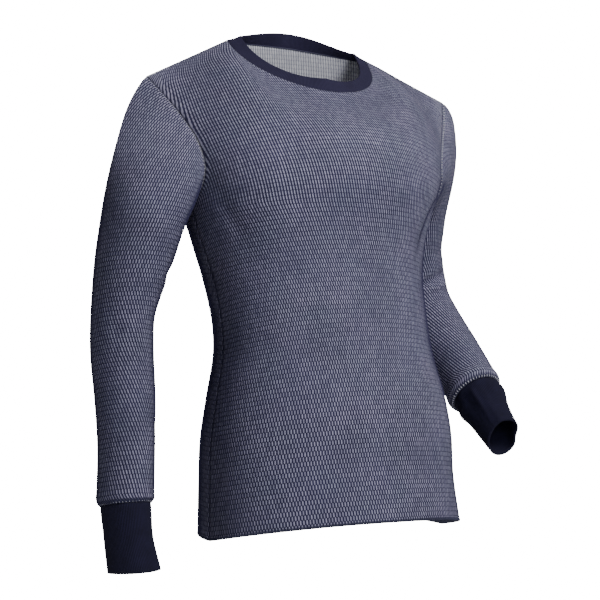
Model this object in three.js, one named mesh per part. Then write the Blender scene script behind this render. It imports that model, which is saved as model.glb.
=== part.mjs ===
// A long-sleeved thermal top, worn and filled out, hollow, with open neck, cuffs and hem.
// Millimetres, +Z up. The front faces -Y and +X is the wearer's left.
// The origin lies midway between the neck ends of the two shoulder seams.
// Every cut piece is a thin closed wall: an outer face worked out from the tables below,
// an inner face one cloth thickness inside it, and a rim round its cut edges.

import * as THREE from "three";

// Cloth
const KNIT_WALL = 1.8;
const RIB_WALL = 2.4;
const SEAM_GAP = 0.3;

// How finely each piece is divided
const PANEL_COLUMNS = 32;
const BODY_ROWS = 12;
const SIDE_ROWS = 5;
const YOKE_ROWS = 6;
const CAP_ROWS = 6;
const ARM_ROWS = 16;
const CUFF_ROWS = 5;
const BAND_ROWS = 3;
const RELAX_PASSES = 4;
const RELAX_ROWS_BELOW = 3;

// Share of the way up to the chest line at which its upward direction is read, and the share of an arm's
// length over which its direction is read
const JUST_BELOW = 0.97;
const SMALL_STEP = 0.001;

// Torso rings from the hem up to the underarm: heights at the side, centre front and centre back,
// how much higher the left side is than the right, half width, where centre front and centre back lie,
// how far the ring is moved to the left, and where the side seam runs
const TORSO = table(
  ["sideZ", "frontZ", "backZ", "leftRise", "halfWidth", "frontY", "backY", "centreX", "sideY"],
  [
    [-689, -666, -678, 7, 190, -196, 90, 18, -54],
    [-620, -600, -614, 5, 185, -189, 88, 15, -51],
    [-560, -544, -556, 3, 183, -186, 86, 15, -50],
    [-504, -494, -502, 2, 174, -180, 80, 14, -50],
    [-434, -428, -433, 0, 159, -165, 74, 12, -45],
    [-364, -360, -364, 0, 159, -152, 82, 8, -36],
    [-322, -316, -322, 0, 163, -147, 92, 3, -30],
    [-285, -274, -284, 0, 172, -147, 101, -1, -28],
    [-240, -228, -238, 0, 187, -153, 107, 1, -25],
  ],
);
const TORSO_SQUARENESS = 0.9;

// Armhole edges from just above the underarm to just below the shoulder tip.
// "out" is the distance from the middle plane towards that arm.
const ARMHOLE = {
  right: {
    front: table(["out", "y", "z"], [
      [187, -53, -222],
      [186, -67, -194],
      [190, -58, -160],
      [204, -35, -120],
      [222, -13, -87],
    ]),
    back: table(["out", "y", "z"], [
      [191, 4, -226],
      [194, 32, -190],
      [201, 44, -150],
      [214, 41, -112],
      [229, 26, -82],
    ]),
    tip: { out: 240, y: 6, z: -60 },
  },
  left: {
    front: table(["out", "y", "z"], [
      [191, -56, -222],
      [196, -71, -194],
      [202, -63, -160],
      [218, -42, -121],
      [237, -18, -88],
    ]),
    back: table(["out", "y", "z"], [
      [191, 4, -226],
      [196, 34, -190],
      [204, 46, -150],
      [219, 42, -112],
      [236, 22, -82],
    ]),
    tip: { out: 247, y: -3, z: -58 },
  },
};

// Centre line of each panel from the underarm to the chest line, one row for each armhole row up to it:
// its height and place, and how far the row sweeps round the chest, in degrees
const CHEST = {
  front: table(["centreZ", "centreY", "sweep", "squareness"], [
    [-228, -153, 90, 0.9],
    [-210, -156, 84, 0.93],
    [-186, -156, 78, 0.97],
    [-152, -150, 72, 1],
  ]),
  back: table(["centreZ", "centreY", "sweep", "squareness"], [
    [-238, 107, 90, 0.9],
    [-222, 110, 84, 0.93],
    [-188, 114, 78, 0.97],
    [-146, 112, 72, 1],
  ]),
};

// Neckline seam: half its width at the shoulder seams, its middle in front and behind with how it falls
// towards there, how far its left end drops, and its share of the panel's columns
const NECK_HALF_WIDTH = 114;
const NECK_SIDE_Y = 8;
const NECK_FRONT = { y: -81, z: -73, fall: 0.88 };
const NECK_BACK = { y: 35, z: 6, fall: 2 };
const NECK_LEFT_DROP = 3.5;
const NECK_SQUARENESS = { across: 0.97, deep: 0.94 };
const NECK_SHARE = 0.5;

// How a panel's lines run into its top edge: towards the middle plane of the neck and upwards at the
// neckline and at the shoulder seam, pinched inwards where the two meet
const TOP_RUN = {
  neck: { inwards: 0.45, up: 0.9 },
  shoulder: { inwards: 1, up: 0.15 },
  change: { start: NECK_SHARE - 0.25, end: NECK_SHARE + 0.15 },
  pinch: { most: 0.25, width: 0.2 },
};
const ARMHOLE_PULL_START = 0.45;

// Neckband: its width, how far it leans in from upright in degrees, how sharply the side lean ends
// towards front and back, and the share of its lean that it loses up to its free edge
const BAND_WIDTH = 21;
const BAND_LEAN = { front: 30, side: 72, back: 14 };
const BAND_SIDE_FOCUS = 1.4;
const BAND_STRAIGHTENING = 0.25;

// Sleeves along the arm: centre, half width across the arm and half width from front to back
const ARM_COLUMNS = ["x", "y", "z", "across", "foreAft"];
const SLEEVE = {
  right: table(ARM_COLUMNS, [
    [-250, -6, -262, 56, 60],
    [-260, 8, -325, 50, 54],
    [-268, 18, -385, 42, 48],
    [-270, 16, -430, 42, 46],
    [-271, 2, -500, 40, 44],
    [-276, -14, -570, 37, 42],
    [-281, -23, -624, 37, 42],
    [-282, -25, -636, 37, 42],
    [-282, -26, -642, 33.5, 38.5],
  ]),
  left: table(ARM_COLUMNS, [
    [237, 73, -232, 54, 56],
    [248, 88, -278, 48, 50],
    [262, 94, -320, 45, 47],
    [270, 91, -356, 44, 47],
    [275, 64, -392, 43, 45],
    [277, 20, -434, 41, 43],
    [273, -34, -482, 40, 42],
    [272, -48, -495, 40, 42],
    [272, -52, -499, 36, 38],
  ]),
};
const CUFF = {
  right: table(ARM_COLUMNS, [
    [-282, -26, -642, 33.5, 38.5],
    [-282, -28, -651, 32.5, 37.5],
    [-281, -36, -692, 32, 37],
    [-279, -48, -727, 34, 39],
  ]),
  left: table(ARM_COLUMNS, [
    [272, -52, -499, 36, 38],
    [273, -60, -506, 34, 37],
    [275, -84, -532, 29, 33],
    [278, -110, -560, 25, 29],
  ]),
};

// Which way the sleeve leaves the armhole, under the arm and over the shoulder, how much it bulges to the
// front and back there, and how straight it runs into the upper arm
const SLEEVE_START = {
  right: { under: [-0.3, 0, -0.95], over: [-0.66, 0, -0.75] },
  left: { under: [0.3, 0.5, -0.85], over: [0.86, 0, -0.52] },
};
const CAP_BULGE = 0.35;
const CAP_RUN_IN = 0.9;

// The largest folds: soft troughs and ridges, each a short stroke in space.
// Middle, run, half length, half width and how far it stands out (ridge) or in (trough).
const FOLD_COLUMNS = ["x", "y", "z", "runX", "runY", "runZ", "halfLength", "halfWidth", "height"];
const FOLDS = {
  sleeve_left: table(FOLD_COLUMNS, [
    [262, 46, -308, 1, 0.15, 0.1, 34, 8, -6],
    [268, 36, -334, 1, 0.1, -0.2, 30, 8, 3],
    [258, 66, -290, 1, 0.2, 0.3, 30, 8, 3],
    [222, 6, -226, 0.4, 0.6, -0.7, 36, 9, -4],
  ]),
  sleeve_right: table(FOLD_COLUMNS, [
    [-214, -8, -330, 0.2, 1, 0.3, 30, 9, -3],
    [-216, 4, -372, 0.1, 1, 0.5, 26, 8, 2],
    [-236, -62, -262, 0.5, 0.3, -0.8, 40, 12, -3],
  ]),
  front: table(FOLD_COLUMNS, [
    [-165, -96, -262, 0.4, -0.3, -0.85, 52, 13, -4],
    [150, -108, -262, -0.5, -0.2, -0.8, 52, 13, -4],
    [-120, -150, -430, 1, -0.3, 0.12, 60, 14, -2],
  ]),
  back: table(FOLD_COLUMNS, [
    [-150, 66, -280, 0.5, 0.3, -0.8, 56, 14, -4],
    [150, 66, -280, -0.5, 0.3, -0.8, 56, 14, -4],
    [0, 76, -452, 1, 0, 0.05, 110, 16, -4],
    [10, 80, -412, 1, 0, -0.04, 80, 14, 3],
  ]),
  cuff_left: table(FOLD_COLUMNS, [
    [262, -92, -506, 0.1, -0.65, -0.75, 40, 8, 3],
  ]),
};

// Colours and finish
const FABRICS = {
  thermal: { color: 0x4a4d66, roughness: 0.95, metalness: 0 },
  neckRib: { color: 0x26263f, roughness: 0.9, metalness: 0 },
  cuffRib: { color: 0x1c1c2c, roughness: 0.9, metalness: 0 },
};

// Turns bare rows into rows with named columns
function table(columns, rows) {
  return rows.map((row) => Object.fromEntries(columns.map((column, k) => [column, row[k]])));
}

function radians(degrees) {
  return (degrees * Math.PI) / 180;
}

// Keeps the sign and raises the size to a power: under 1 it squares a round section off
function signedPower(value, power) {
  return Math.sign(value) * Math.abs(value) ** power;
}

function smoothStep(value, start, end) {
  const s = Math.min(Math.max((value - start) / (end - start), 0), 1);
  return s * s * (3 - 2 * s);
}

// Point between two ends of a cubic with a given run at each end
function cubic(from, to, fromRun, toRun, s) {
  return new THREE.Vector3()
    .addScaledVector(from, 2 * s ** 3 - 3 * s ** 2 + 1)
    .addScaledVector(fromRun, s ** 3 - 2 * s ** 2 + s)
    .addScaledVector(to, 3 * s ** 2 - 2 * s ** 3)
    .addScaledVector(toRun, s ** 3 - s ** 2);
}

// A smooth curve through every row of a table, read at a knot value
function curveThrough(rows, knots) {
  const last = rows.length - 1;
  const step = (k) => knots[k + 1] - knots[k];
  const slope = (name, k) => (rows[k + 1][name] - rows[k][name]) / step(k);
  const tangent = (name, k) => {
    if (k === 0) return slope(name, 0);
    if (k === last) return slope(name, last - 1);
    return (slope(name, k - 1) * step(k) + slope(name, k) * step(k - 1)) / (step(k - 1) + step(k));
  };
  return (knot) => {
    let k = 0;
    while (k < last - 1 && knot > knots[k + 1]) k += 1;
    const s = (knot - knots[k]) / step(k);
    const value = {};
    for (const name of Object.keys(rows[0])) {
      value[name] =
        (2 * s ** 3 - 3 * s ** 2 + 1) * rows[k][name] +
        (s ** 3 - 2 * s ** 2 + s) * step(k) * tangent(name, k) +
        (3 * s ** 2 - 2 * s ** 3) * rows[k + 1][name] +
        (s ** 3 - s ** 2) * step(k) * tangent(name, k + 1);
    }
    return value;
  };
}

function asVector(row) {
  return new THREE.Vector3(row.x, row.y, row.z);
}

// Distance along a chain of rows with x, y and z
function distances(rows) {
  const knots = [0];
  for (let k = 1; k < rows.length; k += 1) {
    knots.push(knots[k - 1] + asVector(rows[k]).distanceTo(asVector(rows[k - 1])));
  }
  return knots;
}

// Armhole edge of a panel as a curve from the underarm to the shoulder tip
function armholeEdge(side, part) {
  const sign = side === "left" ? 1 : -1;
  const under = TORSO[TORSO.length - 1];
  const rows = [{ x: under.centreX + sign * under.halfWidth, y: under.sideY, z: under.sideZ }];
  for (const row of [...ARMHOLE[side][part], ARMHOLE[side].tip]) {
    rows.push({ x: sign * row.out, y: row.y, z: row.z });
  }
  const knots = distances(rows);
  const length = knots[knots.length - 1];
  const shares = knots.map((knot) => knot / length);
  return { at: curveThrough(rows, shares), shares };
}

// Neckline seam from the wearer's right (-1) by the panel's centre (0) to the left (1)
function neckline(part, across) {
  const angle = (across * Math.PI) / 2;
  const centre = part === "front" ? NECK_FRONT : NECK_BACK;
  const drop = Math.max(Math.cos(angle), 0);
  return new THREE.Vector3(
    NECK_HALF_WIDTH * signedPower(Math.sin(angle), NECK_SQUARENESS.across),
    NECK_SIDE_Y + (centre.y - NECK_SIDE_Y) * drop ** NECK_SQUARENESS.deep,
    centre.z * drop ** centre.fall - NECK_LEFT_DROP * Math.sin(angle),
  );
}

// Top edge of a panel: shoulder seam, neckline, shoulder seam
function topEdge(part, across) {
  if (Math.abs(across) <= NECK_SHARE) return neckline(part, across / NECK_SHARE);
  const sign = Math.sign(across);
  const tip = ARMHOLE[sign > 0 ? "left" : "right"].tip;
  const along = (Math.abs(across) - NECK_SHARE) / (1 - NECK_SHARE);
  const neckEnd = neckline(part, sign);
  return neckEnd.lerp(new THREE.Vector3(sign * tip.out, tip.y, tip.z), along);
}

// Direction in which a panel's lines arrive at its top edge
function topRun(part, across) {
  const { neck, shoulder, change, pinch } = TOP_RUN;
  const inwards = part === "front" ? 1 : -1;
  const share = smoothStep(Math.abs(across), change.start, change.end);
  const atNeck = new THREE.Vector3(0, inwards * neck.inwards, neck.up);
  const atShoulder = new THREE.Vector3(0, inwards * shoulder.inwards, shoulder.up);
  const run = atNeck.lerp(atShoulder, share);
  const fromNeckEnd = (Math.abs(across) - NECK_SHARE) / pinch.width;
  run.x -= Math.sign(across) * pinch.most * Math.exp(-(fromNeckEnd ** 2));
  return run.normalize();
}

// One torso ring below the underarm: a squared-off half oval, higher at its centre than at the side
function bodyRow(part, ring, across) {
  const angle = (across * Math.PI) / 2;
  const round = Math.max(Math.cos(angle), 0);
  const centreY = part === "front" ? ring.frontY : ring.backY;
  const centreZ = part === "front" ? ring.frontZ : ring.backZ;
  return new THREE.Vector3(
    ring.centreX + ring.halfWidth * signedPower(Math.sin(angle), TORSO_SQUARENESS),
    ring.sideY + (centreY - ring.sideY) * round ** TORSO_SQUARENESS,
    ring.sideZ + (centreZ - ring.sideZ) * round + (ring.leftRise * Math.sin(angle)) / 2,
  );
}

// One row between the two armhole edges, from the underarm to the chest line
function chestRow(part, edges, chest, share, across) {
  const centre = chest(share);
  const sweep = radians(centre.sweep);
  const angle = across * sweep;
  const right = edges.right.at(share);
  const left = edges.left.at(share);
  const edge = across < 0 ? right : left;
  const outward = signedPower(Math.sin(angle) / Math.sin(sweep), centre.squareness);
  const bend = (1 - Math.cos(angle)) / (1 - Math.cos(sweep));
  const towardsEdge = 1 - Math.max(1 - bend, 0) ** centre.squareness;
  const drop = part === "front" ? (across ** 2 + towardsEdge) / 2 : towardsEdge;
  return new THREE.Vector3(
    (left.x + right.x) / 2 + (outward * (left.x - right.x)) / 2,
    centre.centreY + (edge.y - centre.centreY) * towardsEdge,
    centre.centreZ + (edge.z - centre.centreZ) * drop,
  );
}

// Front or back panel, row by row from the hem to the shoulders, each from right to left
function panelGrid(part) {
  const columns = [];
  for (let c = 0; c <= PANEL_COLUMNS; c += 1) columns.push((2 * c) / PANEL_COLUMNS - 1);
  const hem = TORSO[0].sideZ;
  const height = TORSO[TORSO.length - 1].sideZ - hem;
  const torso = curveThrough(TORSO, TORSO.map((row) => (row.sideZ - hem) / height));
  const rows = [];
  for (let r = 0; r <= BODY_ROWS; r += 1) {
    rows.push(columns.map((across) => bodyRow(part, torso(r / BODY_ROWS), across)));
  }

  const edges = { right: armholeEdge("right", part), left: armholeEdge("left", part) };
  const chestRows = CHEST[part];
  const chestShare = edges.left.shares[chestRows.length - 1];
  const chest = curveThrough(chestRows, edges.left.shares.slice(0, chestRows.length));
  for (let r = 1; r <= SIDE_ROWS; r += 1) {
    const share = (chestShare * r) / SIDE_ROWS;
    rows.push(columns.map((across) => chestRow(part, edges, chest, share, across)));
  }

  const chestLine = rows[rows.length - 1];
  const below = columns.map((across) => chestRow(part, edges, chest, chestShare * JUST_BELOW, across));
  for (let r = 1; r <= YOKE_ROWS; r += 1) {
    const s = r / YOKE_ROWS;
    const share = chestShare + (1 - chestShare) * s;
    rows.push(columns.map((across, c) => yokePoint(part, edges, chestLine[c], below[c], across, s, share)));
  }
  relax(rows);
  return { rows, closed: false, outward: part === "front" ? 1 : -1 };
}

// Evens out a panel from a few rows below the underarm upwards: in each pass every inner point
// moves half way to the middle of its four neighbours, and the cut edges stay
function relax(rows) {
  for (let pass = 0; pass < RELAX_PASSES; pass += 1) {
    const before = rows.map((row) => row.map((point) => point.clone()));
    for (let r = BODY_ROWS - RELAX_ROWS_BELOW; r < rows.length - 1; r += 1) {
      for (let c = 1; c < PANEL_COLUMNS; c += 1) {
        const beside = [before[r - 1][c], before[r + 1][c], before[r][c - 1], before[r][c + 1]];
        const middle = beside.reduce((sum, point) => sum.add(point), new THREE.Vector3()).divideScalar(4);
        rows[r][c].lerp(middle, 0.5);
      }
    }
  }
}

// One point between the chest line and the top edge, drawn onto the armhole towards the panel's sides
function yokePoint(part, edges, start, below, across, s, share) {
  const reach = (column) => {
    const from = column.start;
    const to = topEdge(part, column.across);
    const span = from.distanceTo(to);
    const fromRun = from.clone().sub(column.below).normalize().multiplyScalar(span);
    const toRun = topRun(part, column.across).multiplyScalar(span);
    return cubic(from, to, fromRun, toRun, s);
  };
  const point = reach({ start, below, across });
  const sideShare = smoothStep(Math.abs(across), ARMHOLE_PULL_START, 1);
  if (sideShare === 0) return point;
  const side = across < 0 ? "right" : "left";
  const sign = Math.sign(across);
  const chestShare = edges.left.shares[CHEST[part].length - 1];
  const edgeStart = asVector(edges[side].at(chestShare));
  const edgeBelow = asVector(edges[side].at(chestShare * JUST_BELOW));
  const free = reach({ start: edgeStart, below: edgeBelow, across: sign });
  const wanted = asVector(edges[side].at(share));
  return point.addScaledVector(wanted.sub(free), sideShare);
}

// Rings round an arm, each starting on the side next to the body and passing the front first
function armRings(rows, side, count, points) {
  const sign = side === "left" ? 1 : -1;
  const knots = distances(rows);
  const length = knots[knots.length - 1];
  const at = curveThrough(rows, knots.map((knot) => knot / length));
  const rings = [];
  for (let r = 0; r <= count; r += 1) {
    const share = r / count;
    const section = at(share);
    const ahead = asVector(at(Math.min(share + SMALL_STEP, 1)));
    const run = ahead.sub(asVector(at(Math.max(share - SMALL_STEP, 0)))).normalize();
    const inwards = new THREE.Vector3(-sign, 0, 0).addScaledVector(run, sign * run.x).normalize();
    const forwards = run.clone().cross(inwards).multiplyScalar(-sign);
    const ring = [];
    for (let p = 0; p < points; p += 1) {
      const angle = (2 * Math.PI * p) / points;
      ring.push(
        asVector(section)
          .addScaledVector(inwards, section.across * Math.cos(angle))
          .addScaledVector(forwards, section.foreAft * Math.sin(angle)),
      );
    }
    rings.push(ring);
  }
  return rings;
}

// Sleeve: a cap from the armhole to the upper arm, then rings down the arm
function sleeveGrid(side, armholeLoop) {
  const points = armholeLoop.length;
  const rings = armRings(SLEEVE[side], side, ARM_ROWS, points);
  const under = new THREE.Vector3(...SLEEVE_START[side].under);
  const over = new THREE.Vector3(...SLEEVE_START[side].over);
  const rows = [];
  for (let r = 0; r < CAP_ROWS; r += 1) {
    rows.push(
      armholeLoop.map((from, p) => {
        const turn = (2 * Math.PI * p) / points;
        const run = under.clone().lerp(over, (1 - Math.cos(turn)) / 2);
        run.y -= CAP_BULGE * Math.sin(turn);
        const to = rings[0][p];
        const span = from.distanceTo(to);
        const toRun = rings[1][p].clone().sub(to).setLength(CAP_RUN_IN * span);
        return cubic(from, to, run.setLength(span), toRun, r / CAP_ROWS);
      }),
    );
  }
  return { rows: [...rows, ...rings], closed: true, outward: side === "left" ? -1 : 1 };
}

// Rib cuff, which starts on the sleeve's last ring
function cuffGrid(side, sleeveEnd) {
  const rings = armRings(CUFF[side], side, CUFF_ROWS, sleeveEnd.length);
  return { rows: [sleeveEnd, ...rings.slice(1)], closed: true, outward: side === "left" ? -1 : 1 };
}

// Rib neckband, leaning in from the neckline seam
function neckbandGrid(loop) {
  const centre = loop.reduce((sum, point) => sum.add(point), new THREE.Vector3()).divideScalar(loop.length);
  const rows = [];
  for (let r = 0; r <= BAND_ROWS; r += 1) {
    const share = r / BAND_ROWS;
    rows.push(
      loop.map((point, p) => {
        const turn = (2 * Math.PI * p) / loop.length;
        const side = Math.abs(Math.cos(turn)) ** BAND_SIDE_FOCUS;
        const centreLean = Math.sin(turn) > 0 ? BAND_LEAN.front : BAND_LEAN.back;
        const lean = BAND_LEAN.side * side + centreLean * (1 - side);
        const angle = radians(lean) * (1 - BAND_STRAIGHTENING * share);
        const inwards = centre.clone().sub(point).setZ(0).normalize();
        return point
          .clone()
          .addScaledVector(inwards, BAND_WIDTH * share * Math.sin(angle))
          .add(new THREE.Vector3(0, 0, BAND_WIDTH * share * Math.cos(angle)));
      }),
    );
  }
  return { rows, closed: true, outward: 1 };
}

// Joins two grid positions round a closed ring, or stops at the edge of an open one
function neighbour(grid, c, step) {
  const count = grid.rows[0].length;
  if (grid.closed) return (c + step + count) % count;
  return Math.min(Math.max(c + step, 0), count - 1);
}

function rowBeside(grid, r, step) {
  return Math.min(Math.max(r + step, 0), grid.rows.length - 1);
}

// Outward direction at each point of a grid
function gridNormals(grid) {
  return grid.rows.map((row, r) =>
    row.map((point, c) => {
      const along = row[neighbour(grid, c, 1)].clone().sub(row[neighbour(grid, c, -1)]);
      const up = grid.rows[rowBeside(grid, r, 1)][c].clone().sub(grid.rows[rowBeside(grid, r, -1)][c]);
      return along.cross(up).normalize().multiplyScalar(grid.outward);
    }),
  );
}

// Moves the points near each fold in or out along the cloth's own direction
function addFolds(grid, folds) {
  const normals = gridNormals(grid);
  const lastRow = grid.rows.length - 1;
  grid.rows.forEach((row, r) => {
    if (r === 0 || r === lastRow) return;
    row.forEach((point, c) => {
      if (!grid.closed && (c === 0 || c === row.length - 1)) return;
      let height = 0;
      for (const fold of folds) {
        const run = new THREE.Vector3(fold.runX, fold.runY, fold.runZ).normalize();
        const offset = point.clone().sub(asVector(fold));
        const along = offset.dot(run);
        const aside = offset.addScaledVector(run, -along).length();
        height += fold.height * Math.exp(-((along / fold.halfLength) ** 2) - (aside / fold.halfWidth) ** 2);
      }
      point.addScaledVector(normals[r][c], height);
    });
  });
}

// Names a place to a hundredth of a millimetre; the shift keeps round values away from the rounding step
function placeOf(point) {
  const shift = 0.37;
  return point.toArray().map((value) => Math.floor(value * 100 + shift)).join(" ");
}

// Edges of a grid that a point lies on, each with its neighbours along that edge and the point inside it
function edgesAt(grid, r, c) {
  const { rows, closed } = grid;
  const found = [];
  const lastRow = rows.length - 1;
  const lastColumn = rows[0].length - 1;
  if (r === 0 || r === lastRow) {
    const inside = rows[r === 0 ? 1 : lastRow - 1][c];
    found.push({ before: rows[r][neighbour(grid, c, -1)], after: rows[r][neighbour(grid, c, 1)], inside });
  }
  if (!closed && (c === 0 || c === lastColumn)) {
    const inside = rows[r][c === 0 ? 1 : lastColumn - 1];
    found.push({ before: rows[rowBeside(grid, r, -1)][c], after: rows[rowBeside(grid, r, 1)][c], inside });
  }
  return found;
}

// Angle that a piece takes up round one of its points
function angleAt(grid, r, c) {
  const row = grid.rows[r];
  const beside = (step) => (grid.closed ? row[neighbour(grid, c, step)] : row[c + step]);
  const around = [beside(1), grid.rows[r + 1]?.[c], beside(-1), grid.rows[r - 1]?.[c]];
  const arms = around.map((point) => point?.clone().sub(row[c]));
  let angle = 0;
  arms.forEach((arm, k) => {
    const next = arms[(k + 1) % arms.length];
    if (arm !== undefined && next !== undefined) angle += arm.angleTo(next);
  });
  return angle;
}

// Mean outward direction at each place that two or more pieces share, each piece by its angle there
function seamDirections(grids) {
  const found = new Map();
  for (const grid of grids) {
    grid.rows.forEach((row, r) =>
      row.forEach((point, c) => {
        if (edgesAt(grid, r, c).length === 0) return;
        const place = placeOf(point);
        const share = grid.normals[r][c].clone().multiplyScalar(angleAt(grid, r, c));
        found.set(place, [...(found.get(place) ?? []), share]);
      }),
    );
  }
  const means = new Map();
  for (const [place, normals] of found) {
    if (normals.length < 2) continue;
    const sum = normals.reduce((total, normal) => total.add(normal), new THREE.Vector3());
    means.set(place, sum.normalize());
  }
  return means;
}

// Gives each grid its outer and inner faces. At a seam the cut edges turn to the mean direction
// and draw back from the seam by half its gap.
function fitSeams(grids) {
  for (const grid of grids) grid.normals = gridNormals(grid);
  const seams = seamDirections(grids);
  for (const grid of grids) {
    const outer = (point, r, c) => {
      const mean = seams.get(placeOf(point));
      const moved = point.clone();
      if (mean === undefined) return moved;
      for (const { before, after, inside } of edgesAt(grid, r, c)) {
        if (!seams.has(placeOf(before)) && !seams.has(placeOf(after))) continue;
        const aside = mean.clone().cross(after.clone().sub(before)).normalize();
        const inwards = Math.sign(aside.dot(inside.clone().sub(point)));
        moved.addScaledVector(aside, (inwards * SEAM_GAP) / 2);
      }
      return moved;
    };
    grid.outer = grid.rows.map((row, r) => row.map((point, c) => outer(point, r, c)));
    grid.inner = grid.rows.map((row, r) =>
      row.map((point, c) => {
        const direction = seams.get(placeOf(point)) ?? grid.normals[r][c];
        return grid.outer[r][c].clone().addScaledVector(direction, -grid.thickness);
      }),
    );
  }
}

// Closed wall between a grid's outer and inner faces
function wallGeometry(grid) {
  const rowCount = grid.rows.length;
  const columnCount = grid.rows[0].length;
  const spans = grid.closed ? columnCount : columnCount - 1;
  const innerStart = rowCount * columnCount;
  const index = (layer, r, c) => layer * innerStart + r * columnCount + (c % columnCount);
  const points = [...grid.outer.flat(), ...grid.inner.flat()];
  const triangles = [];
  const addTriangle = (a, b, c) => triangles.push(...(grid.outward > 0 ? [a, b, c] : [a, c, b]));
  // Each four-sided patch is split along its shorter diagonal, so that facing cut edges match
  const addQuad = (a, b, c, d) => {
    if (points[a].distanceTo(points[c]) < points[b].distanceTo(points[d])) {
      addTriangle(a, b, c);
      addTriangle(a, c, d);
    } else {
      addTriangle(a, b, d);
      addTriangle(b, c, d);
    }
  };
  for (let r = 0; r < rowCount - 1; r += 1) {
    for (let c = 0; c < spans; c += 1) {
      addQuad(index(0, r, c), index(0, r, c + 1), index(0, r + 1, c + 1), index(0, r + 1, c));
      addQuad(index(1, r, c), index(1, r + 1, c), index(1, r + 1, c + 1), index(1, r, c + 1));
    }
  }
  const top = rowCount - 1;
  for (let c = 0; c < spans; c += 1) {
    addQuad(index(1, 0, c), index(1, 0, c + 1), index(0, 0, c + 1), index(0, 0, c));
    addQuad(index(0, top, c), index(0, top, c + 1), index(1, top, c + 1), index(1, top, c));
  }
  if (!grid.closed) {
    for (let r = 0; r < top; r += 1) {
      addQuad(index(1, r, 0), index(0, r, 0), index(0, r + 1, 0), index(1, r + 1, 0));
      addQuad(index(0, r, spans), index(1, r, spans), index(1, r + 1, spans), index(0, r + 1, spans));
    }
  }
  const geometry = new THREE.BufferGeometry();
  const positions = points.flatMap((point) => point.toArray());
  geometry.setAttribute("position", new THREE.Float32BufferAttribute(positions, 3));
  geometry.setIndex(triangles);
  geometry.computeVertexNormals();
  return geometry;
}

// Armhole loop from the underarm up the front edge, over the tip and down the back edge
function armholeLoop(front, back, side) {
  const edge = (grid) => grid.rows.slice(BODY_ROWS).map((row) => row[side === "left" ? row.length - 1 : 0]);
  return [...edge(front), ...edge(back).reverse().slice(1, -1)];
}

// Neckline loop from the right shoulder seam by the front to the left one and back
function necklineLoop(front, back) {
  const start = (PANEL_COLUMNS * (1 - NECK_SHARE)) / 2;
  const span = (grid) => grid.rows[grid.rows.length - 1].slice(start, PANEL_COLUMNS - start + 1);
  return [...span(front), ...span(back).reverse().slice(1, -1)];
}

function buildTop() {
  const front = panelGrid("front");
  const back = panelGrid("back");
  const pieces = { front, back };
  for (const side of ["right", "left"]) {
    const sleeve = sleeveGrid(side, armholeLoop(front, back, side));
    pieces[`sleeve_${side}`] = sleeve;
    pieces[`cuff_${side}`] = cuffGrid(side, sleeve.rows[sleeve.rows.length - 1]);
  }
  pieces.neckband = neckbandGrid(necklineLoop(front, back));

  const fabricOf = (name) => {
    if (name === "neckband") return "neckRib";
    return name.startsWith("cuff") ? "cuffRib" : "thermal";
  };
  for (const [name, grid] of Object.entries(pieces)) {
    if (FOLDS[name] !== undefined) addFolds(grid, FOLDS[name]);
    grid.thickness = fabricOf(name) === "thermal" ? KNIT_WALL : RIB_WALL;
  }
  fitSeams(Object.values(pieces));

  const top = new THREE.Group();
  for (const [name, grid] of Object.entries(pieces)) {
    const mesh = new THREE.Mesh(wallGeometry(grid), new THREE.MeshStandardMaterial(FABRICS[fabricOf(name)]));
    mesh.name = name;
    top.add(mesh);
  }
  return top;
}

export default buildTop();
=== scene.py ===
"""A long-sleeved thermal top, worn and filled out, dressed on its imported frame.

Sizes in the tables are millimetres in the part's own frame: +Z up, the front faces -Y, +X is the wearer's
left, and the origin lies midway between the neck ends of the shoulder seams.
"""

import math

import bpy
import numpy as np
from bpy.props import FloatProperty, PointerProperty, StringProperty
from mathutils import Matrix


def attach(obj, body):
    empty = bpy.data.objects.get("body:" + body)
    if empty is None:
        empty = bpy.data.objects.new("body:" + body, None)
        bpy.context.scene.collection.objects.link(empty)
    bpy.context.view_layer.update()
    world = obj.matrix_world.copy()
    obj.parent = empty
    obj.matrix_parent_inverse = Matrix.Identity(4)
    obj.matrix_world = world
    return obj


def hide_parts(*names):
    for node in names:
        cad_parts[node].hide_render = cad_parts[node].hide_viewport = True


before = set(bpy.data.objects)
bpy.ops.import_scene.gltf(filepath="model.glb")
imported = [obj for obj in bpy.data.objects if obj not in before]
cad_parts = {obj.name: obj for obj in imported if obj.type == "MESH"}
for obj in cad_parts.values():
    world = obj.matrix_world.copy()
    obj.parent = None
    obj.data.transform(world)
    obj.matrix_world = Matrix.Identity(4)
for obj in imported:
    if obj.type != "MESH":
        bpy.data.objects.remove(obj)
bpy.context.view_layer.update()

bl_info = {
    "name": "Thermal top",
    "version": (1, 0, 0),
    "blender": (4, 5, 0),
    "location": "View3D > Sidebar > Thermal top",
    "description": "Builds a worn long-sleeved thermal top with knit, ribs and seams",
    "category": "Add Mesh",
}

MM = 0.001
SIDES = ("right", "left")

# The cutting grid, and how many parts each of its steps is divided into
PANEL_COLUMNS = 32
BODY_ROWS = 12
SIDE_ROWS = 5
YOKE_ROWS = 6
CAP_ROWS = 6
ARM_ROWS = 16
CUFF_ROWS = 5
BAND_ROWS = 3
ACROSS_PARTS = 4
UP_PARTS = 6
ARM_PARTS = 5
RIB_PARTS = 5

# Passes that even out the panels, a cap's underarm (between two cosines of the turn) and the arm's bend
RELAX_PASSES = 4
RELAX_ROWS_BELOW = 3
CAP_PASSES = 60
CAP_UNDERARM = (0.0, 0.7)
BEND_PASSES = 12
# Where both sides of the crease under the arm meet, the wall is drawn in to a share of its thickness
CREASE_THICKNESS = 0.1
CREASE_AROUND = (0.45, 0.8)
JUST_BELOW = 0.97
SMALL_STEP = 0.001

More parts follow.
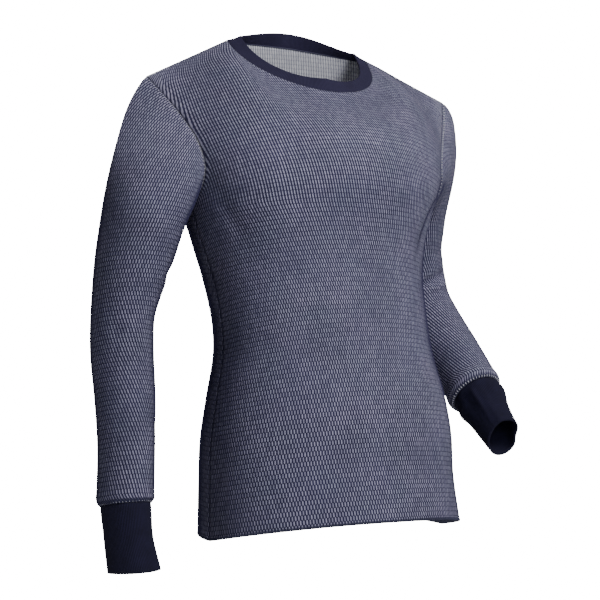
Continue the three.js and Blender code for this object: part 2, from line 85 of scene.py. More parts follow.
# Torso rings from the hem up to the underarm
TORSO_COLUMNS = ("sideZ", "frontZ", "backZ", "leftRise", "halfWidth", "frontY", "backY", "centreX", "sideY")
TORSO = np.array([
    [-689, -666, -678, 7, 190, -196, 90, 18, -54],
    [-620, -600, -614, 5, 185, -189, 88, 15, -51],
    [-560, -544, -556, 3, 183, -186, 86, 15, -50],
    [-504, -494, -502, 2, 174, -180, 80, 14, -50],
    [-434, -428, -433, 0, 159, -165, 74, 12, -45],
    [-364, -360, -364, 0, 159, -152, 82, 8, -36],
    [-322, -316, -322, 0, 163, -147, 92, 3, -30],
    [-285, -274, -284, 0, 172, -147, 101, -1, -28],
    [-240, -228, -238, 0, 187, -153, 107, 1, -25],
], float)
TORSO_SQUARENESS = 0.9

# Armhole edges from just above the underarm to the shoulder tip: distance out from the middle plane, y and z
ARMHOLE = {
    "right": {
        "front": [[187, -53, -222], [186, -67, -194], [190, -58, -160], [204, -35, -120], [222, -13, -87]],
        "back": [[191, 4, -226], [194, 32, -190], [201, 44, -150], [214, 41, -112], [229, 26, -82]],
        "tip": [240, 6, -60],
    },
    "left": {
        "front": [[191, -56, -222], [196, -71, -194], [202, -63, -160], [218, -42, -121], [237, -18, -88]],
        "back": [[191, 4, -226], [196, 34, -190], [204, 46, -150], [219, 42, -112], [236, 22, -82]],
        "tip": [247, -3, -58],
    },
}

# Centre line of each panel from the underarm to the chest line: height, place, sweep in degrees, squareness
CHEST = {
    "front": [[-228, -153, 90, 0.9], [-210, -156, 84, 0.93], [-186, -156, 78, 0.97], [-152, -150, 72, 1]],
    "back": [[-238, 107, 90, 0.9], [-222, 110, 84, 0.93], [-188, 114, 78, 0.97], [-146, 112, 72, 1]],
}

NECK_HALF_WIDTH = 114
NECK_SIDE_Y = 8
NECK_CENTRE = {"front": {"y": -81, "z": -73, "fall": 0.88}, "back": {"y": 35, "z": 6, "fall": 2}}
NECK_LEFT_DROP = 3.5
NECK_SQUARENESS = {"across": 0.97, "deep": 0.94}
NECK_SHARE = 0.5
NECK_COLUMN = int(PANEL_COLUMNS * (1 - NECK_SHARE) / 2) * ACROSS_PARTS

# How a panel's lines run into its top edge, inwards and up
NECK_RUN = (0.45, 0.9)
SHOULDER_RUN = (1.0, 0.15)
RUN_CHANGE = (NECK_SHARE - 0.25, NECK_SHARE + 0.15)
RUN_PINCH = {"most": 0.25, "width": 0.2}
ARMHOLE_PULL_START = 0.45

BAND_WIDTH = 21
BAND_LEAN = {"front": 30, "side": 82, "back": 14}
BAND_SIDE_FOCUS = 0.95
BAND_STRAIGHTENING = 0.14

# Sleeves along the arm: centre x, y, z, half width across the arm and from front to back. A cuff's rings
# follow its sleeve's last.
SLEEVE = {
    "right": [
        [-250, -6, -262, 56, 60],
        [-260, 8, -325, 50, 54],
        [-268, 18, -385, 42, 48],
        [-270, 16, -430, 42, 46],
        [-271, 2, -500, 40, 44],
        [-276, -14, -570, 37, 42],
        [-281, -23, -624, 37, 42],
        [-282, -25, -636, 37, 42],
        [-282, -26, -642, 33.5, 38.5],
    ],
    "left": [
        [237, 73, -232, 54, 56],
        [248, 88, -278, 48, 50],
        [262, 94, -320, 45, 47],
        [270, 91, -356, 44, 47],
        [275, 64, -392, 43, 45],
        [277, 20, -434, 41, 43],
        [273, -34, -482, 40, 42],
        [272, -48, -495, 40, 42],
        [272, -52, -499, 36, 38],
    ],
}
CUFF = {
    "right": [[-282, -28, -651, 32.5, 37.5], [-281, -36, -692, 32, 37], [-279, -48, -727, 34, 39]],
    "left": [[273, -60, -506, 34, 37], [275, -84, -532, 29, 33], [278, -110, -560, 25, 29]],
}
# How the mouth of each cuff is turned: the rim moves along the arm by this vector times its place round it
CUFF_MOUTH_TURN = {"right": [0, -0.3, 0], "left": [0.16, 0.22, -0.22]}
# How far each cuff puffs out below its seam, where along it that is most, and over what share it fades
CUFF_PUFF = {"right": 0.6, "left": 3.4}
CUFF_PUFF_PLACE = {"middle": 0.2, "reach": 0.16}
SLEEVE_START = {
    "right": {"under": [-0.3, 0, -0.95], "over": [-0.66, 0, -0.75]},
    "left": {"under": [0.3, 0.5, -0.85], "over": [0.86, 0, -0.52]},
}
CAP_BULGE = 0.35
CAP_RUN_IN = 0.9

# Folds: middle x, y, z, run x, y, z, half length, half width, height (under 0 for a trough).
# The first ones of each piece are the source's own, and the finer ones after them are added here.
FOLDS = {
    "sleeve_left": [
        [264, 50, -321, 1, 0.14, 0.5, 32, 7, -5], [270, 50, -334, 1, 0.2, 0.4, 30, 6, 2.5],
        [262, 62, -304, 1, 0.16, 0.5, 30, 7, 2.5], [272, 40, -350, 1, 0.2, 0.3, 24, 7, -2.5],
        [222, 6, -226, 0.4, 0.6, -0.7, 36, 9, -4], [232, -8, -192, 0.5, 0.5, -0.7, 30, 8, -2],
        [300, 118, -330, 0.2, -0.6, 0.8, 26, 11, 2], [250, 130, -352, 1, 0.1, 0.3, 34, 10, -2],
        [262, -6, -462, 1, 0.3, 0.4, 30, 8, -1.5],
    ],
    "sleeve_right": [
        [-214, -8, -330, 0.2, 1, 0.3, 30, 9, -3], [-216, 4, -372, 0.1, 1, 0.5, 26, 8, 2],
        [-236, -62, -262, 0.5, 0.3, -0.8, 40, 12, -3], [-292, -20, -410, 0.3, 1, 0.2, 34, 9, -2],
        [-290, 30, -440, 0.6, 0.8, 0.3, 30, 9, 1.8], [-262, 66, -372, 1, 0.2, 0.4, 32, 9, -2.5],
        [-268, 62, -346, 1, 0.1, 0.2, 26, 9, 1.8], [-252, -38, -520, 0.4, 0.5, -0.7, 34, 9, -1.2],
    ],
    "front": [
        [-165, -96, -262, 0.4, -0.3, -0.85, 52, 13, -4], [150, -108, -262, -0.5, -0.2, -0.8, 52, 13, -4],
        [-120, -150, -430, 1, -0.3, 0.12, 60, 14, -2], [70, -168, -452, 1, 0.2, -0.1, 74, 18, -1.6],
        [-60, -176, -560, 0.9, 0, 0.35, 80, 22, 1.8], [96, -170, -600, 0.3, 0.1, 0.9, 70, 18, -2],
        [-96, -126, -170, 0.8, -0.3, -0.4, 46, 16, -1.8], [118, -122, -176, 0.8, 0.3, 0.5, 42, 16, -1.8],
        [0, -120, -96, 1, 0, 0.05, 60, 9, 1.2],
    ],
    "back": [
        [-150, 66, -280, 0.5, 0.3, -0.8, 56, 14, -4], [150, 66, -280, -0.5, 0.3, -0.8, 56, 14, -4],
        [0, 76, -452, 1, 0, 0.05, 110, 16, -4], [10, 80, -412, 1, 0, -0.04, 80, 14, 3],
        [-40, 84, -492, 1, 0, 0.1, 84, 15, 2.4], [50, 86, -524, 1, 0, -0.12, 70, 14, -2],
        [-110, 104, -214, 0.7, 0.1, 0.7, 52, 15, -2], [112, 106, -196, 0.7, -0.1, -0.7, 44, 15, -2],
    ],
    "cuff_left": [
        [262, -92, -506, 0.1, -0.65, -0.75, 40, 8, 3], [247, -90, -506, 0.18, -0.59, -0.79, 34, 4, 2.6],
        [238, -78, -512, 0.18, -0.59, -0.79, 30, 7, -2.2],
        [262, -100, -500, 0.18, -0.59, -0.79, 30, 7, -1.6], [303, -112, -556, 0.1, -0.5, -0.85, 26, 12, -5],
        [262, -128, -540, 0.1, -0.6, -0.8, 14, 6, 2.5], [290, -130, -548, 0.1, -0.6, -0.8, 14, 6, 2.0],
    ],
}
FOLD_FADE = 12

# Seams: how deep the cloth sinks at one, and how far from it, the width of the navy strip painted as shade
# in the dip of the cuff seams, and the radius of the roll of seam allowance inside the neck
SEAM_DIP = 0.8
SEAM_DIP_REACH = 3.0
SEAM_SHADE_STRIP = 4.6
SEAM_ROLL = 1.1
ROLL_DEPTH = 0.7

# The raised net of wales: width of its windows, height at its crowns and at its windows' edges, and how far
# its nodes lie from the middle of a row, as a share of the row pitch
NET_WINDOW = 1.8
NET_CROWN = 0.75
NET_FOOT = 0.15
NET_NODE = 0.36
# The net lies flatter where the knit is stretched, over the shoulders and towards the raised left arm:
# least share of its height, and the heights and the distances to the left between which it falls
NET_FLATTENED = 0.18
NET_FLATTENING = (-260, -150)
NET_LEFT_FLATTENING = (40, 170)
NET_LEFT_MOST = 0.65
SEARCH_STEPS = 4

# How far the floats lean per length towards the first column: least, change, and the heights between which
# it changes. Seen from the front they lean left going up, but right on the right upper sleeve.
FLOAT_SLANT = {
    "front": (0.06, 0.34, -420, -140),
    "back": (0.06, 0.34, -420, -140),
    "sleeve_right": (-0.25, 0.45, -420, -260),
    "sleeve_left": (0.28, -0.1, -320, -200),
}

PANELS = ["front_cloth", "back_cloth"]

# Cut pieces: kind, way out of the cloth, finish, how it is held, flat width and length in metres (all round
# on a tube), flat area in square metres, and what it rests on
PIECES = {
    "front": ("panel", 1, "thermal_knit", "hung", (0.54, 0.71), 0.321, []),
    "back": ("panel", -1, "thermal_knit", "hung", (0.54, 0.725), 0.334, []),
    "sleeve_right": ("sleeve", 1, "thermal_knit", "hung", (0.41, 0.605), 0.157, PANELS),
    "sleeve_left": ("sleeve", -1, "thermal_knit", "hung", (0.43, 0.535), 0.143, PANELS),
    "cuff_right": ("rib", 1, "cuff_rib", "stretched", (0.235, 0.09), 0.019, ["sleeve_right_cloth"]),
    "cuff_left": ("rib", -1, "cuff_rib", "stretched", (0.235, 0.09), 0.018, ["sleeve_left_cloth"]),
    "neckband": ("rib", 1, "neck_rib", "stretched", (0.606, 0.021), 0.011, PANELS),
}
# The edges of each kind at which the cloth sinks into a seam
SEAMS = {"panel": ("last_row", "columns"), "sleeve": ("first_row", "last_row"), "rib": ("first_row",)}

# Stitches along the cut edges: piece, edge, every how many mm, length, how far in from the edge,
# thickness, turned across the edge (1) or laid along it (0), and thread
STITCHES = (
    ("front", "hem", 1.3, 4.2, 1.9, 1.0, 0.95, "thread"),
    ("back", "hem", 1.3, 4.2, 1.9, 1.0, 0.95, "thread"),
    ("front", "first_column", 2.6, 2.0, 1.2, 0.6, 0.3, "thread"),
    ("front", "last_column", 2.6, 2.0, 1.2, 0.6, 0.3, "thread"),
    ("front", "right_shoulder", 2.6, 2.0, 1.2, 0.6, 0.3, "thread"),
    ("front", "left_shoulder", 2.6, 2.0, 1.2, 0.6, 0.3, "thread"),
    ("sleeve_right", "first_row", 5.0, 2.0, 2.0, 0.9, 0.4, "pale_thread"),
    ("sleeve_left", "first_row", 5.0, 2.8, 2.4, 1.2, 0.6, "pale_thread"),
    ("sleeve_right", "last_row", 4.4, 2.0, 1.8, 0.8, 0.9, "pale_thread"),
    ("sleeve_left", "last_row", 4.4, 3.6, 2.4, 1.3, 0.9, "pale_thread"),
    ("neckband", "first_row", 2.6, 1.8, 1.0, 0.6, 0.5, "thread"),
)
STITCH_SIDES = 4
STITCH_RINGS = 4
STITCH_ARCH = {"taper": 1.8, "rise": 0.7, "dip": 3.2}
STEP_IN = 0.4

# Lights: name, place and aim in metres, power in watts, size in metres, colour
LIGHTS = (
    ("key", (0.35, -2.1, 1.45), (0.0, -0.1, -0.1), 51.0, 1.2, "#fffdfc"),
    ("side", (1.7, -0.6, 1.6), (0.1, 0.0, -0.1), 10.0, 1.0, "#ffffff"),
    ("fill", (-0.15, -2.6, 0.0), (-0.25, 0.0, -0.3), 18.0, 0.8, "#f4f4ff"),
    ("rim", (-2.2, 1.6, 0.4), (-0.2, 0.0, -0.35), 10.0, 1.2, "#eeeeff"),
)
FLOOR_HALF = 3000

# The pieces' grids and the materials, worked out once and shared by the operators
TOP = {}
MATERIALS = {}


# Curves and surfaces


def together(*values):
    """Points whose coordinates are the given values, spread over the same grid."""
    return np.stack(np.broadcast_arrays(*values), axis=-1)


def signed_power(value, power):
    """Keeps the sign and raises the size to a power; under 1 it squares a round section off."""
    return np.sign(value) * np.abs(value) ** power


def smooth_step(value, start, end):
    """0 before the start, 1 after the end, and 3 s squared less 2 s cubed between them."""
    s = np.clip((value - start) / (end - start), 0, 1)
    return s * s * (3 - 2 * s)


def unit(vectors):
    """Each vector divided by its length."""
    return vectors / np.maximum(np.linalg.norm(vectors, axis=-1, keepdims=True), 1e-12)


def cubic(start, end, start_run, end_run, s):
    """Point at share s between two ends of a cubic with a given run at each end."""
    ends = (2 * s**3 - 3 * s**2 + 1) * start + (s**3 - 2 * s**2 + s) * start_run
    return ends + (3 * s**2 - 2 * s**3) * end + (s**3 - s**2) * end_run


def curve_through(rows, knots, at):
    """A smooth curve through every row of a table, read at the knot values in at.
    Each span is a cubic whose runs are the neighbouring slopes, weighted by the spans' lengths."""
    rows = np.asarray(rows, float)
    flat = rows.reshape(len(rows), -1)
    step = np.diff(knots)[:, None]
    slope = np.diff(flat, axis=0) / step
    inner = (slope[:-1] * step[1:] + slope[1:] * step[:-1]) / (step[:-1] + step[1:])
    tangent = np.concatenate([slope[:1], inner, slope[-1:]])
    at = np.asarray(at, float)
    k = np.clip(np.searchsorted(knots, at, side="right") - 1, 0, len(knots) - 2)
    s = ((at - knots[k]) / step[k, 0])[:, None]
    value = cubic(flat[k], flat[k + 1], step[k] * tangent[k], step[k] * tangent[k + 1], s)
    return value.reshape((len(at),) + rows.shape[1:])


def distances(points):
    """Distance along a chain of points, from 0 at the first."""
    return np.concatenate([[0], np.cumsum(np.linalg.norm(np.diff(points, axis=0), axis=1))])


def spread(coarse, row_parts, column_parts):
    """A coarse grid read at finer steps both ways, along smooth curves through its points."""
    for parts in (row_parts, column_parts):
        count = len(coarse)
        fine = curve_through(coarse, np.arange(count), np.arange((count - 1) * parts + 1) / parts)
        coarse = fine.swapaxes(0, 1)
    return coarse


# The panels


def armhole_edge(side, part):
    """Points of a panel's armhole edge from the underarm to the tip, and their shares of its length."""
    sign = 1 if side == "left" else -1
    under = dict(zip(TORSO_COLUMNS, TORSO[-1]))
    start = [[under["centreX"] + sign * under["halfWidth"], under["sideY"], under["sideZ"]]]
    rest = np.array([*ARMHOLE[side][part], ARMHOLE[side]["tip"]], float) * [sign, 1, 1]
    points = np.concatenate([start, rest])
    length = distances(points)
    return points, length / length[-1]


def neckline(part, across):
    """Neckline seam from the wearer's right at -1 to the left at 1: a half oval that drops to the centre."""
    angle = across * math.pi / 2
    centre = NECK_CENTRE[part]
    drop = np.clip(np.cos(angle), 0, 1)
    return together(
        NECK_HALF_WIDTH * signed_power(np.sin(angle), NECK_SQUARENESS["across"]),
        NECK_SIDE_Y + (centre["y"] - NECK_SIDE_Y) * drop ** NECK_SQUARENESS["deep"],
        centre["z"] * drop ** centre["fall"] - NECK_LEFT_DROP * np.sin(angle),
    )


def top_edge(part, across):
    """Top edge of a panel: shoulder seam, neckline, shoulder seam, the shoulder seams being straight."""
    middle = neckline(part, np.clip(across / NECK_SHARE, -1, 1))
    sign = np.sign(across)
    right = np.array(ARMHOLE["right"]["tip"], float) * [-1, 1, 1]
    tips = np.where(sign[:, None] > 0, np.array(ARMHOLE["left"]["tip"], float), right)
    along = ((np.abs(across) - NECK_SHARE) / (1 - NECK_SHARE))[:, None]
    neck_end = neckline(part, sign)
    return np.where(along > 0, neck_end + (tips - neck_end) * along, middle)


def top_run(part, across):
    """Direction in which a panel's lines arrive at its top edge: up at the neck, inwards on the shoulder."""
    inwards = 1 if part == "front" else -1
    share = smooth_step(np.abs(across), *RUN_CHANGE)[:, None]
    at_neck, at_shoulder = (np.array([0, inwards * run[0], run[1]]) for run in (NECK_RUN, SHOULDER_RUN))
    run = at_neck + (at_shoulder - at_neck) * share
    from_neck_end = (np.abs(across) - NECK_SHARE) / RUN_PINCH["width"]
    run[:, 0] -= np.sign(across) * RUN_PINCH["most"] * np.exp(-(from_neck_end**2))
    return unit(run)


def body_rows(part, rings, across):
    """Torso rings below the underarm, each a squared-off half oval, higher at its centre than at the side."""
    ring = {name: rings[:, k, None] for k, name in enumerate(TORSO_COLUMNS)}
    angle = across * math.pi / 2
    bow = np.clip(np.cos(angle), 0, 1)
    return together(
        ring["centreX"] + ring["halfWidth"] * signed_power(np.sin(angle), TORSO_SQUARENESS),
        ring["sideY"] + (ring[f"{part}Y"] - ring["sideY"]) * bow**TORSO_SQUARENESS,
        ring["sideZ"] + (ring[f"{part}Z"] - ring["sideZ"]) * bow + ring["leftRise"] * np.sin(angle) / 2,
    )


def chest_rows(part, share, across):
    """Rows between the two armhole edges, from the underarm to the chest line, each an arc that flattens
    as it rises and drops from the centre line to its edges."""
    edges = [armhole_edge(side, part) for side in SIDES]
    centre = curve_through(CHEST[part], edges[1][1][: len(CHEST[part])], share)
    centre_z, centre_y, sweep, squareness = (centre[:, k, None] for k in range(4))
    sweep = sweep * math.pi / 180
    angle = across * sweep
    right, left = (curve_through(*edge, share)[:, None] for edge in edges)
    edge = np.where(across[:, None] < 0, right, left)
    outward = signed_power(np.sin(angle) / np.sin(sweep), squareness)
    bend = (1 - np.cos(angle)) / (1 - np.cos(sweep))
    towards_edge = 1 - np.clip(1 - bend, 0, 1) ** squareness
    drop = (across**2 + towards_edge) / 2 if part == "front" else towards_edge
    return together(
        (left[..., 0] + right[..., 0]) / 2 + outward * (left[..., 0] - right[..., 0]) / 2,
        centre_y + (edge[..., 1] - centre_y) * towards_edge,
        centre_z + (edge[..., 2] - centre_z) * drop,
    )


def yoke_rows(part, s, across):
    """Rows from the chest line to the top edge: cubics that leave the chest line in its own direction,
    drawn onto the armhole edges towards the panel's sides."""
    chest_share = armhole_edge("left", part)[1][len(CHEST[part]) - 1]
    both = np.array([chest_share, chest_share * JUST_BELOW])

    def reach(start, below, column):
        end = top_edge(part, column)
        span = np.linalg.norm(end - start, axis=-1, keepdims=True)
        return cubic(start, end, unit(start - below) * span, top_run(part, column) * span, s[:, None, None])

    rows = reach(*chest_rows(part, both, across), across)
    pull = smooth_step(np.abs(across), ARMHOLE_PULL_START, 1)[:, None]
    share = chest_share + (1 - chest_share) * s
    for side, sign in zip(SIDES, (-1.0, 1.0)):
        edge = armhole_edge(side, part)
        start, below = curve_through(*edge, both)[:, None]
        shift = curve_through(*edge, share)[:, None] - reach(start, below, np.array([sign]))
        rows = rows + np.where(across[:, None] * sign > 0, shift * pull, 0)
    return rows


def raw_panel(part, row_parts, column_parts):
    """Panel before it is evened out: body rows, chest rows and yoke rows, from the hem to the shoulders."""
    columns = PANEL_COLUMNS * column_parts
    across = 2 * np.arange(columns + 1) / columns - 1
    counts = np.array([BODY_ROWS, SIDE_ROWS, YOKE_ROWS]) * row_parts
    body, side, yoke = (np.arange(count + 1) / count for count in counts)
    knots = (TORSO[:, 0] - TORSO[0, 0]) / (TORSO[-1, 0] - TORSO[0, 0])
    chest_share = armhole_edge("left", part)[1][len(CHEST[part]) - 1]
    return np.concatenate([
        body_rows(part, curve_through(TORSO, knots, body), across),
        chest_rows(part, chest_share * side[1:], across),
        yoke_rows(part, yoke[1:], across),
    ])


def panel(part):
    """Front or back panel on the fine grid. The coarse grid is evened out in passes, in which each inner
    point moves half way to the middle of its four neighbours, and the fine grid takes that shift over."""
    coarse = raw_panel(part, 1, 1)
    even = coarse.copy()
    first = BODY_ROWS - RELAX_ROWS_BELOW
    for _ in range(RELAX_PASSES):
        beside = even[first:-1, :-2] + even[first:-1, 2:]
        middle = (even[first - 1 : -2, 1:-1] + even[first + 1 :, 1:-1] + beside) / 4
        even[first:-1, 1:-1] += (middle - even[first:-1, 1:-1]) / 2
    return raw_panel(part, UP_PARTS, ACROSS_PARTS) + spread(even - coarse, UP_PARTS, ACROSS_PARTS)


# The sleeves, cuffs and neckband


def turns_round(ring):
    """Angle of each point of a ring, in even steps."""
    return 2 * math.pi * np.arange(len(ring)) / len(ring)


def arm_rings(rows, side, shares, turns):
    """Rings round an arm. Each is an oval in the plane across the arm's run, and starts on the side next
    to the body and passes the front first."""
    rows = np.array(rows, float)
    sign = 1 if side == "left" else -1
    length = distances(rows[:, :3])
    knots = length / length[-1]
    section = curve_through(rows, knots, shares)
    ahead = curve_through(rows[:, :3], knots, np.minimum(shares + SMALL_STEP, 1))
    behind = curve_through(rows[:, :3], knots, np.maximum(shares - SMALL_STEP, 0))
    run = unit(ahead - behind)
    inwards = unit(np.array([-sign, 0, 0]) + run * sign * run[:, :1])
    forwards = np.cross(run, inwards) * -sign
    across = (inwards * section[:, 3:4])[:, None] * np.cos(turns)[:, None]
    return section[:, None, :3] + across + (forwards * section[:, 4:5])[:, None] * np.sin(turns)[:, None]


def armhole_loop(front, back, side):
    """Armhole from the underarm up the front edge, over the tip and down the back edge."""
    first = BODY_ROWS * UP_PARTS
    column = -1 if side == "left" else 0
    return np.concatenate([front[first:, column], back[first:, column][::-1][1:-1]])


def neckline_loop(front, back):
    """Neckline from the right shoulder seam by the front to the left one and back."""
    middle = slice(NECK_COLUMN, PANEL_COLUMNS * ACROSS_PARTS - NECK_COLUMN + 1)
    return np.concatenate([front[-1, middle], back[-1, middle][::-1][1:-1]])


def sleeve(side, loop):
    """Sleeve: a cap of cubics from the armhole to the upper arm, then rings down the arm. Passes move the
    underarm's points to the middle of their four neighbours, and the bend's to the middle of two."""
    turns = turns_round(loop)
    steps = ARM_ROWS * ARM_PARTS
    rings = arm_rings(SLEEVE[side], side, np.arange(steps + 1) / steps, turns)
    first, second = rings[0], rings[ARM_PARTS]
    under, over = (np.array(SLEEVE_START[side][way], float) for way in ("under", "over"))
    run = under + (over - under) * ((1 - np.cos(turns)) / 2)[:, None]
    run[:, 1] -= CAP_BULGE * np.sin(turns)
    span = np.linalg.norm(first - loop, axis=1, keepdims=True)
    cap_steps = CAP_ROWS * ARM_PARTS
    s = (np.arange(cap_steps) / cap_steps)[:, None, None]
    cap = cubic(loop, first, unit(run) * span, unit(second - first) * CAP_RUN_IN * span, s)
    grid = np.concatenate([cap, rings])
    last = cap_steps + ARM_PARTS
    share = smooth_step(np.cos(turns), *CAP_UNDERARM)[:, None] / 2
    for _ in range(CAP_PASSES):
        beside = (np.roll(grid, 1, axis=1) + np.roll(grid, -1, axis=1))[1:last]
        grid[1:last] += ((grid[: last - 1] + grid[2 : last + 1] + beside) / 4 - grid[1:last]) * share
    last = (CAP_ROWS + ARM_ROWS - 2) * ARM_PARTS
    for _ in range(BEND_PASSES):
        middle = (grid[cap_steps - 1 : last - 1] + grid[cap_steps + 1 : last + 1]) / 2
        grid[cap_steps:last] += (middle - grid[cap_steps:last]) / 2
    return grid


def cuff(side, sleeve_end):
    """Rib cuff: rings along the wrist, of which the first is drawn onto the sleeve's last. It puffs out
    below the seam by a bell, and its rings tilt more towards the mouth."""
    steps = CUFF_ROWS * RIB_PARTS
    shares = np.arange(steps + 1) / steps
    rings = arm_rings([SLEEVE[side][-1], *CUFF[side]], side, shares, turns_round(sleeve_end))
    fade = 1 - smooth_step(shares, 0, 1 / CUFF_ROWS)
    middle = rings.mean(axis=1, keepdims=True)
    shift = (rings - middle) @ np.array(CUFF_MOUTH_TURN[side], float) * shares[:, None] ** 2
    run = unit(np.gradient(middle, axis=0))
    puff = np.exp(-(((shares - CUFF_PUFF_PLACE["middle"]) / CUFF_PUFF_PLACE["reach"]) ** 2)) * (1 - fade)
    outwards = unit(rings - middle) * (CUFF_PUFF[side] * puff)[:, None, None]
    return rings + outwards + run * shift[..., None] + (sleeve_end - rings[0]) * fade[:, None, None]


def neckband(loop):
    """Rib neckband, which leans in from the neckline seam, most at the sides."""
    steps = BAND_ROWS * RIB_PARTS
    share = (np.arange(steps + 1) / steps)[:, None]
    turn = turns_round(loop)
    side = np.abs(np.cos(turn)) ** BAND_SIDE_FOCUS
    centre_lean = np.where(np.sin(turn) > 0, BAND_LEAN["front"], BAND_LEAN["back"])
    lean = (BAND_LEAN["side"] * side + centre_lean * (1 - side)) * math.pi / 180
    angle = (lean * (1 - BAND_STRAIGHTENING * share))[..., None]
    inwards = unit((loop.mean(axis=0) - loop) * [1, 1, 0])
    width = BAND_WIDTH * share[..., None]
    return loop + inwards * (width * np.sin(angle)) + np.array([0, 0, 1]) * (width * np.cos(angle))


# Grids: outward directions, distances, folds


def wrapped(grid, closed):
    """A grid with its first column once more at the end where it is closed."""
    return np.concatenate([grid, grid[:, :1]], axis=1) if closed else grid


def ahead_of(grid, closed, axis):
    """Difference between the next and the last point of each point along an axis, round a closed ring."""
    if axis == 1 and closed:
        return np.roll(grid, -1, axis=1) - np.roll(grid, 1, axis=1)
    index = np.arange(grid.shape[axis])
    after, before = np.minimum(index + 1, index[-1]), np.maximum(index - 1, 0)
    return np.take(grid, after, axis) - np.take(grid, before, axis)


def outward_directions(grid, closed, outward):
    """Unit vectors across a grid's two directions, turned to point out of the cloth."""
    return unit(np.cross(ahead_of(grid, closed, 1), ahead_of(grid, closed, 0))) * outward


def along_columns(grid):
    """Distance of each point from the first row, along its own column."""
    steps = np.linalg.norm(np.diff(grid, axis=0), axis=2)
    return np.concatenate([np.zeros((1, grid.shape[1])), np.cumsum(steps, axis=0)])


def seam_distance(grid, edges):
    """Distance of each point from the nearest of the named cut edges, in mm."""
    down = along_columns(grid)
    across = along_columns(grid.swapaxes(0, 1)).T
    found = {"first_row": [down], "last_row": [down[-1] - down], "columns": [across, across[:, -1:] - across]}
    return np.min([distance for edge in edges for distance in found[edge]], axis=0)


def fold_heights(grid, folds, edge_distance):
    """Sum of the folds, each a bell across its own stroke and along it, fading out at the cut edges."""
    height = np.zeros(grid.shape[:2])
    for fold in folds:
        middle, run = np.array(fold[:3], float), unit(np.array(fold[3:6], float))
        half_length, half_width, most = fold[6:]
        offset = grid - middle
        along = offset @ run
        aside = np.linalg.norm(offset - along[..., None] * run, axis=-1)
        height += most * np.exp(-((along / half_length) ** 2) - (aside / half_width) ** 2)
    return height * smooth_step(edge_distance, 0, FOLD_FADE)


def cut_coordinates(grid, kind, rib_pitch):
    """Place of each point in the flat cut, in mm. On a panel, across is the distance from the centre line,
    stretched so that every row up to the underarm has the cut's full width, and up is the distance from
    the hem. On a sleeve, across is the distance from the outer line and up the distance from the cuff."""
    ring = wrapped(grid, kind != "panel")
    across = along_columns(ring.swapaxes(0, 1)).T
    middle = across[:, across.shape[1] // 2, None]
    up = along_columns(ring)
    if kind == "panel":
        across = across - middle
        underarm = BODY_ROWS * UP_PARTS
        for side, columns in ((0, across[0] < 0), (-1, across[0] > 0)):
            half = np.abs(across[:, side])
            stretch = half[underarm] / np.maximum(half, 1)
            stretch[underarm:] = 1
            across[:, columns] *= stretch[:, None]
        return together(across, up)
    up = up[-1] - up
    if kind == "sleeve":
        return together(across - middle, up)
    return together(across / across[:, -1:] * round(across[0, -1] / rib_pitch) * rib_pitch, up)


def wall_share(grid, kind):
    """Share of its thickness that the wall has at each point: 1, but less in a sleeve's underarm crease."""
    rows, columns = grid.shape[:2]
    around = smooth_step(np.cos(2 * math.pi * np.arange(columns) / columns), *CREASE_AROUND)
    along = 1 - smooth_step(np.arange(rows) / ARM_PARTS, CAP_ROWS, CAP_ROWS + 2)
    return 1 - (1 - CREASE_THICKNESS) * along[:, None] * around * (kind == "sleeve")


def work_out_top(cloth):
    """Grids, outward directions and cut coordinates of all seven pieces, in mm."""
    front, back = panel("front"), panel("back")
    grids = {"front": front, "back": back, "neckband": neckband(neckline_loop(front, back))}
    for side in SIDES:
        grids[f"sleeve_{side}"] = sleeve(side, armhole_loop(front, back, side))
        grids[f"cuff_{side}"] = cuff(side, grids[f"sleeve_{side}"][-1])
    for name, grid in grids.items():
        kind, outward = PIECES[name][:2]
        closed = kind != "panel"
        edge = seam_distance(grid, SEAMS[kind])
        normals = outward_directions(grid, closed, outward)
        grid = grid + normals * fold_heights(grid, FOLDS.get(name, ()), edge)[..., None]
        normals = outward_directions(grid, closed, outward)
        dip = SEAM_DIP * np.exp(-((edge / SEAM_DIP_REACH) ** 2))
        share = wall_share(grid, kind)
        thickness = (cloth.rib_wall if kind == "rib" else cloth.wall) * share
        TOP[name] = {
            "outer": grid - normals * dip[..., None],
            "inner": grid - normals * thickness[..., None],
            "normals": normals,
            "closed": closed,
            "outward": outward,
            "crease": share < 1,
            "cut": cut_coordinates(grid, kind, cloth.rib_pitch),
        }


# Meshes


def add_mesh(name, points, quads, materials, node=None, uv=None, face_materials=None):
    """Object from arrays of points in mm and of four-sided faces, with its UV map in metres. With a node, it
    rides on the frame's root, and the imported part of that name is hidden."""
    mesh = bpy.data.meshes.new(name)
    mesh.vertices.add(len(points))
    mesh.vertices.foreach_set("co", (np.asarray(points, float) * MM).ravel())
    quads = np.asarray(quads, np.int32)
    mesh.loops.add(quads.size)
    mesh.loops.foreach_set("vertex_index", quads.ravel())
    mesh.polygons.add(len(quads))
    mesh.polygons.foreach_set("loop_start", np.arange(0, quads.size, 4, dtype=np.int32))
    mesh.polygons.foreach_set("loop_total", np.full(len(quads), 4, np.int32))
    mesh.polygons.foreach_set("use_smooth", np.full(len(quads), True))
    if uv is not None:
        mesh.uv_layers.new(name="cut").data.foreach_set("uv", np.asarray(uv, np.float32).ravel())
    for material in materials:
        mesh.materials.append(MATERIALS[material])
    if face_materials is not None:
        mesh.polygons.foreach_set("material_index", np.asarray(face_materials, np.int32))
    mesh.update(calc_edges=True)
    mesh.validate()
    piece = bpy.data.objects.new(name, mesh)
    bpy.context.scene.collection.objects.link(piece)
    if node:
        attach(piece, "root")
        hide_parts(node)
    return piece


def cells(rows, columns):
    """Row and column of each of the four corners of every cell of a grid."""
    r, c = (index.ravel() for index in np.mgrid[:rows, :columns])
    return [(r, c), (r, c + 1), (r + 1, c + 1), (r + 1, c)]


